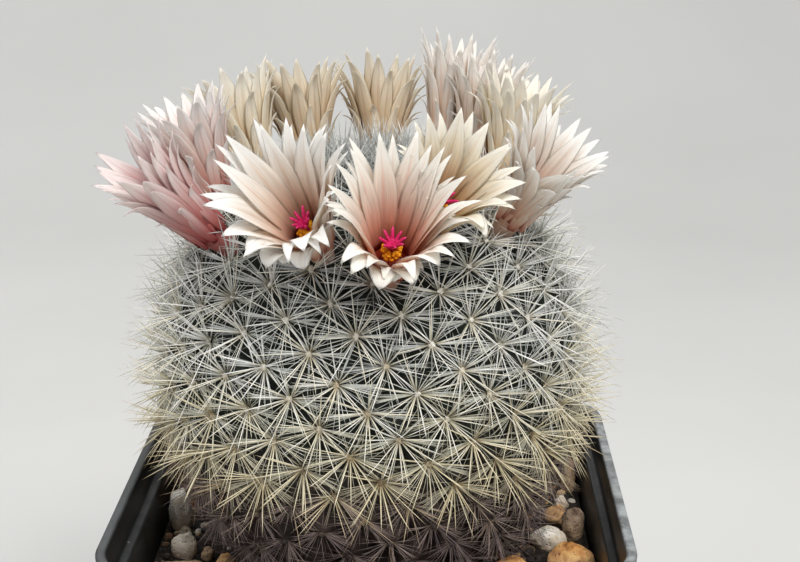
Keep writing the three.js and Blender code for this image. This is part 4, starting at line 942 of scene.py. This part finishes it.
def petalRow(bloom, row, rng):
    count, lengthShare, openRoot, openTip, hook, halfWidth, offset = flower["rows"][row]
    out = roundAxis(bloom, 2 * np.pi * (np.arange(count) + offset + rng.uniform(-0.2, 0.2, count)) / count)
    aside = np.cross(bloom["axis"], out)
    rootR, rootH = flower["rootRadius"][row], flower["rootHeight"][row]
    # 1 for the lowest petal of a leaning bloom, 0 for its upper half; squared, so that few petals sag
    low = bloom["sag"] * np.clip(-out[:, 2] / math.sqrt(1 - bloom["axis"][2] ** 2), 0, 1) ** 2
    low = low * (1 if row < 2 or bloom["sag"] < 0 else flower["sagOuter"])
    opening = math.atan((bloom["mouth"] - flower["mouthRadius"]) / (bloom["length"] - flower["mouthHeight"]))
    spread = opening * (1 + flower["sagOpen"] * low) * rng.uniform(*flower["openSpread"], count)
    t = np.linspace(0, 1, flower["stations"] + 1)
    pace = 1 / flower["stations"]
    middle = (t[1:] + t[:-1]) / 2
    fullLength = (bloom["length"] * lengthShare - rootH) / math.cos(opening * (openRoot + openTip) / 2)
    shorter = flower["sagShort"] * np.maximum(low, 0) ** 2 + flower["heldShort"] * np.maximum(-low, 0)
    fullLength = fullLength * (1 - shorter) * rng.uniform(*flower["lengthSpread"], count)
    bend = (hook + flower["sagHook"] * np.maximum(low, 0)) * rng.uniform(*flower["hookSpread"], count)

    def midline(scale):
        # The blade's angle from the axis grows as t^1.5 and hooks back near the tip; r and h sum it up
        lean = (spread * scale)[:, None] * (openRoot + (openTip - openRoot) * middle ** 1.5)
        back = bend[:, None] * np.clip((middle - flower["hookFrom"]) / (1 - flower["hookFrom"]), 0, 1) ** 1.3
        r = rootR + np.cumsum(np.sin(lean + back) * pace, 1) * fullLength[:, None]
        h = rootH + np.cumsum(np.cos(lean + back) * pace, 1) * fullLength[:, None]
        ahead = np.ones((count, 1))
        return np.hstack([ahead * rootR, r]), np.hstack([ahead * rootH, h])

    def roomLeft():
        # Share of its own opening that each petal has before its tip meets a neighbour's side
        r, h = midline(np.ones(count))
        share = np.ones(count)
        for normal, edge in wallsOf(bloom):
            lean = out @ normal
            past = flower["overlap"][row] + flower["sagOverlap"] * np.maximum(low, 0)
            room = edge + past - (bloom["base"] @ normal) - h[:, -1] * (bloom["axis"] @ normal)
            most = (room / np.maximum(lean, 1e-3) - rootR) / (r[:, -1] - rootR)
            share = np.where(lean > 0.05, np.minimum(share, most), share)
        return np.clip(share, 0.2, 1)

    stunted = 1 - flower["crowdShort"] * smoothStep(3 * low) * (1 - roomLeft())
    fullLength = fullLength * stunted
    scale = roomLeft()
    # With no room at all a petal would keep 0.15 of its hook and 0.72 of its length
    bend = bend * (0.15 + 0.85 * scale)
    fullLength = fullLength * (0.72 + 0.28 * smoothStep(scale / 0.8))
    r, h = midline(scale)
    sway = rng.normal(0, flower["sway"], count)[:, None] * t ** 2
    line = (bloom["base"] + out[:, None] * r[..., None] + bloom["axis"] * h[..., None]
            + aside[:, None] * sway[..., None])
    tangent = unit(np.gradient(line, axis=1))
    face = unit(np.cross(aside[:, None], tangent))
    cross = np.cross(tangent, face)
    # Half width: narrow at the claw, widest at the middle, a long taper to the point, blunt where it sags
    swell = 0.55 + 0.45 * np.sin(np.pi / 2 * np.clip(t / 0.55, 0, 1))
    sagging = np.maximum(low, 0)[:, None]
    point = 1 - np.clip((t - 0.5) / 0.5, 0, 1) ** (1.5 + 2 * sagging)
    varied = rng.uniform(*flower["widthSpread"], count) * (0.7 + 0.3 * scale)
    wide = halfWidth * varied[:, None] * (swell * point)
    wide = wide * (1 + flower["sagWide"] * sagging)
    # Section: an ellipse flattened to the blade, its edges folded in by cup times s^2 so that the row
    # follows the funnel's round, lapped over the next petal, and grooved at the midrib
    angle = turns(flower["section"])
    s, lift = np.cos(angle), np.sin(angle)
    cup = np.clip(wide / (2 * r), 0, 0.4) + rng.uniform(0.0, flower["fold"], count)[:, None] * t[None]
    twist = flower["lap"] * (1 - t[None]) + rng.normal(0, flower["twist"], count)[:, None] * t[None]
    body = t[:-1]
    n = len(body)
    flatness = (twist[:, :n, None] * s - cup[:, :n, None] * s ** 2) * wide[:, :n, None]
    groove = flower["groove"] * np.exp(-(s / flower["grooveWidth"]) ** 2) * np.sin(np.pi * body)[:, None]
    thinner = (1 - flower["thinTip"] * body)[:, None] * (1 - flower["thinEdge"] * s ** 2)
    depth = flower["thickness"] * thinner * lift
    rim = (line[:, :n, None] + cross[:, :n, None] * (s * wide[:, :n, None])[..., None]
           + face[:, :n, None] * (flatness + groove + depth)[..., None])
    points = np.concatenate([rim.reshape(count, -1, 3), line[:, :1], line[:, -1:]], 1)
    step = points.shape[1]
    # A petal that a neighbour presses flat against the tube is left out of the outer rows, a low one of all
    free = ((scale > flower["leastRoom"]) | (row == 0)) & (stunted > flower["leastGrown"])
    count = int(free.sum())
    points = points[free]
    across = np.concatenate([np.tile(s, n), [0, 0]])
    along = np.concatenate([np.repeat(body, len(s)), [0, 1]])
    each = np.repeat(rng.uniform(0, 1, count), step)
    mark = np.stack([np.tile(across, count), np.tile(along, count), each], -1)
    faces = repeated(skinFaces(n, len(s)), count, step)
    return points.reshape(-1, 3), faces, {"petal": mark}


def tubeOf(bloom):
    # The tube's rows turned round the bloom's axis; its mark is off the midrib, so it has no stripe
    radius, height, shade = np.array(flower["tube"]).T
    sides = flower["tubeSides"]
    out = roundAxis(bloom, turns(sides))
    rings = [bloom["base"] + out * r + bloom["axis"] * h for r, h in zip(radius, height)]
    ends = [bloom["base"] + bloom["axis"] * h for h in (height[0], height[-1])]
    points = np.concatenate([*rings, ends])
    mark = np.zeros((len(points), 3))
    mark[:, 0] = 0.6
    mark[:, 1] = np.concatenate([np.repeat(shade, sides), [shade[0], shade[-1]]])
    return points, skinFaces(len(radius), sides), {"petal": mark}


def makeAntherFinish():
    # Pollen sacs: mealy and matt, orange-yellow, grained by pollen
    finish, tree, shader, _ = newFinish("pollen_covered_anther", 0.9, 1.4)
    place = addNode(tree, "TexCoord").outputs["Object"]
    along = addNode(tree, "Attribute", attribute_name="along").outputs["Fac"]
    pollen = addNode(tree, "TexNoise", {"Vector": place, "Scale": 5200.0, "Detail": 2.0})
    sac = addNode(tree, "ValToRGB", {"Fac": pollen},
                  stops=[(0.32, "#d47a08"), (0.5, "#f0a312"), (0.68, "#ffc838")])
    # Filaments are salmon at the throat and paler above
    stalk = addNode(tree, "ValToRGB", {"Fac": along}, stops=[(0.0, "#b8453c"), (0.8, "#e08a6a")])
    isSac = addNode(tree, "Math", {0: along, 1: 1.5}, operation="GREATER_THAN")
    colour = addNode(tree, "MixRGB", {"Fac": isSac, "Color1": stalk, "Color2": sac})
    coverSurface(tree, shader, colour, pollen, 0.6, 0.0002)
    return finish


def stamensOf(bloom, rng):
    # Filaments rise from the throat's wall and lean in; a lumpy sac tips each
    count, base, axis = stamen["count"], bloom["base"], bloom["axis"]
    order = np.arange(count)
    out = roundAxis(bloom, order * goldenAngle)
    inmost, more = stamen["spread"]
    spread = inmost + more * np.sqrt((order + 0.5) / count)
    tipH = stamen["tipHeight"] - stamen["fall"] * (spread - 0.7)
    tipH = tipH + rng.uniform(*stamen["heightSpread"], count)
    root = base + out * stamen["rootRadius"] + axis * stamen["rootHeight"]
    head = base + out * spread[:, None] + axis * tipH[:, None]
    lean = head - root
    straight = np.zeros((count, 3))
    points, faces, along, _ = rods(root, unit(lean), np.linalg.norm(lean, axis=1),
                                   np.full(count, stamen["radius"]), straight, *stamen["shape"])
    size = np.full((count, 3), stamen["sac"]) * rng.uniform(*stamen["sacSpread"], (count, 3))
    sacs, sacFaces, _ = blobs(head, size, rng.uniform(0, 6.28, count), rng, *stamen["sacShape"])
    ofSacs = {"along": np.full(len(sacs), 2.0)}
    return joined([(points, faces, {"along": along}), (sacs, sacFaces, ofSacs)])


def stigmaOf(bloom, rng):
    # A thin style, then lobes that arch up and out like a small crown
    lobes, radius = stigma["lobes"], stigma["radius"]
    out = roundAxis(bloom, 2 * np.pi * (np.arange(lobes) + rng.uniform(-0.15, 0.15, lobes)) / lobes)
    hub = bloom["base"] + bloom["axis"] * stigma["hub"]
    heading = unit(out + bloom["axis"] * rng.uniform(*stigma["rise"], lobes)[:, None])
    outward, onward = stigma["bend"]
    bend = out * outward + bloom["axis"] * onward
    star = rods(hub + out * 0.05, heading, rng.uniform(*stigma["length"], lobes), np.full(lobes, radius),
                bend, *stigma["lobeShape"])
    foot = bloom["base"][None] + bloom["axis"] * stigma["styleFrom"]
    style = rods(foot, bloom["axis"][None], np.array([stigma["styleLength"]]), np.array([radius]),
                 np.zeros((1, 3)), *stigma["styleShape"])
    return joined([(star[0], star[1], {}), (style[0], style[1], {})])


def makeFlowers():
    finishes = {name: makePetalFinish(name) for name in petalTones}
    slots = {"flower_01": "petal_front", "flower_03": "petal_front", "flower_12": "petal_front",
             "flower_10": "petal_pink", "flower_11": "petal_pink"}
    antherFinish = makeAntherFinish()
    # Moist papillate stigma: strong magenta, satin
    stigmaFinish = makeGrainedFinish("magenta_stigma", 0.4, 1.4, {"Scale": 3800.0, "Detail": 3.0},
                                     stigma["tones"], 0.5, 0.0002)
    for n, (name, bloom) in enumerate(blooms.items()):
        rng = np.random.default_rng(flower["seed"] + n)
        rows = [petalRow(bloom, row, rng) for row in range(len(flower["rows"]))]
        points, faces, marks = joined([*rows, tubeOf(bloom)])
        slotName = slots.get(name, "petal_cream")
        makePiece(name + "_petals", points, faces, finishes[bloom["tint"]], slotName, stands=[name],
                  marks=marks)
        points, faces, marks = stamensOf(bloom, rng)
        makePiece(name + "_anthers", points, faces, antherFinish, "anther", stands=[name + "_stamens"],
                  marks=marks)
        points, faces, _ = stigmaOf(bloom, rng)
        makePiece(name + "_pistil", points, faces, stigmaFinish, "stigma", stands=[name + "_stigma"])


makeFlowers()
print("flowers: done")

studio = {
    "floor": "#cfcecb", "floorHalf": 1600.0, "floorFront": -1400.0, "floorCurve": 500, "floorTop": 2400.0,
    "world": "#dfe3e8", "worldStrength": 0.36,
    "lens": 76.5, "eye": (12.2, -291.6, 198.9), "pitch": 15.65, "yaw": 1.36, "roll": -0.41,
}
softboxes = {  # power, size, place and aim, the last three in metres
    "key": (11.0, 0.45, (0.3, -0.55, 0.85), (0, 0, 0.1)),
    "fill": (4.8, 0.8, (-0.62, -0.42, 0.72), (0, 0, 0.1)),
    "back": (2.3, 0.6, (-0.25, 0.6, 0.8), (0, 0, 0.12)),
}


def makeFloor():
    # A sheet that runs back and curves up: y and z follow a quarter circle of radius floorCurve
    turn = np.linspace(0, np.pi / 2, 24)
    curve, half = studio["floorCurve"], studio["floorHalf"]
    y = np.concatenate([[studio["floorFront"]], curve + curve * np.sin(turn), [2.0 * curve]])
    z = np.concatenate([[0.0], curve - curve * np.cos(turn), [studio["floorTop"]]])
    x = np.array([-half, half])
    points = np.stack([np.tile(x, len(y)), np.repeat(y, 2), np.repeat(z, 2)], -1)
    k = np.arange(len(y) - 1) * 2
    faces = [np.stack([k, k + 1, k + 3, k + 2], -1)]
    finish, tree, shader, _ = newFinish("pale_card", 0.8)
    place = addNode(tree, "TexCoord").outputs["Object"]
    mottle = addNode(tree, "TexNoise", {"Vector": place, "Scale": 6.0, "Detail": 3.0})
    tone = addNode(tree, "ValToRGB", {"Fac": mottle}, stops=[(0.3, "#c9c8c5"), (0.7, studio["floor"])])
    tree.links.new(tone.outputs[0], shader.inputs["Base Color"])
    makePiece("pale_floor", points, faces, finish)


def addSoftbox(name, power, size, place, aim):
    light = bpy.data.lights.new(name, "AREA")
    light.energy, light.size = power, size
    lamp = bpy.data.objects.new(name, light)
    bpy.context.collection.objects.link(lamp)
    back = unit(np.array(place) - np.array(aim))
    side = unit(np.cross([0.0, 0.0, 1.0], back))
    turned = np.column_stack([side, np.cross(back, side), back])
    lamp.matrix_world = Matrix.Translation(place) @ Matrix(turned.tolist()).to_4x4()


def addCamera():
    pitch, yaw, roll = (math.radians(studio[k]) for k in ("pitch", "yaw", "roll"))
    level = math.cos(pitch)
    ahead = np.array([-math.sin(yaw) * level, math.cos(yaw) * level, -math.sin(pitch)])
    right = np.array([math.cos(yaw), math.sin(yaw), 0.0])
    over = np.cross(right, ahead)
    x = math.cos(roll) * right + math.sin(roll) * over
    y = -math.sin(roll) * right + math.cos(roll) * over
    view = bpy.data.cameras.new("view")
    view.lens, view.sensor_width, view.clip_start = studio["lens"], 36, 0.01
    camera = bpy.data.objects.new("view", view)
    bpy.context.collection.objects.link(camera)
    eye = [v * toMetres for v in studio["eye"]]
    turned = np.column_stack([x, y, -ahead])
    camera.matrix_world = Matrix.Translation(eye) @ Matrix(turned.tolist()).to_4x4()
    bpy.context.scene.camera = camera


makeFloor()
for name, settings in softboxes.items():
    addSoftbox(name, *settings)
addCamera()
world = bpy.data.worlds.new("soft_room")
bpy.context.scene.world = world
world.use_nodes = True
sky = world.node_tree.nodes["Background"].inputs
sky["Color"].default_value = linear(studio["world"])
sky["Strength"].default_value = studio["worldStrength"]
bpy.context.scene.view_settings.view_transform = "Standard"
print("studio: done")
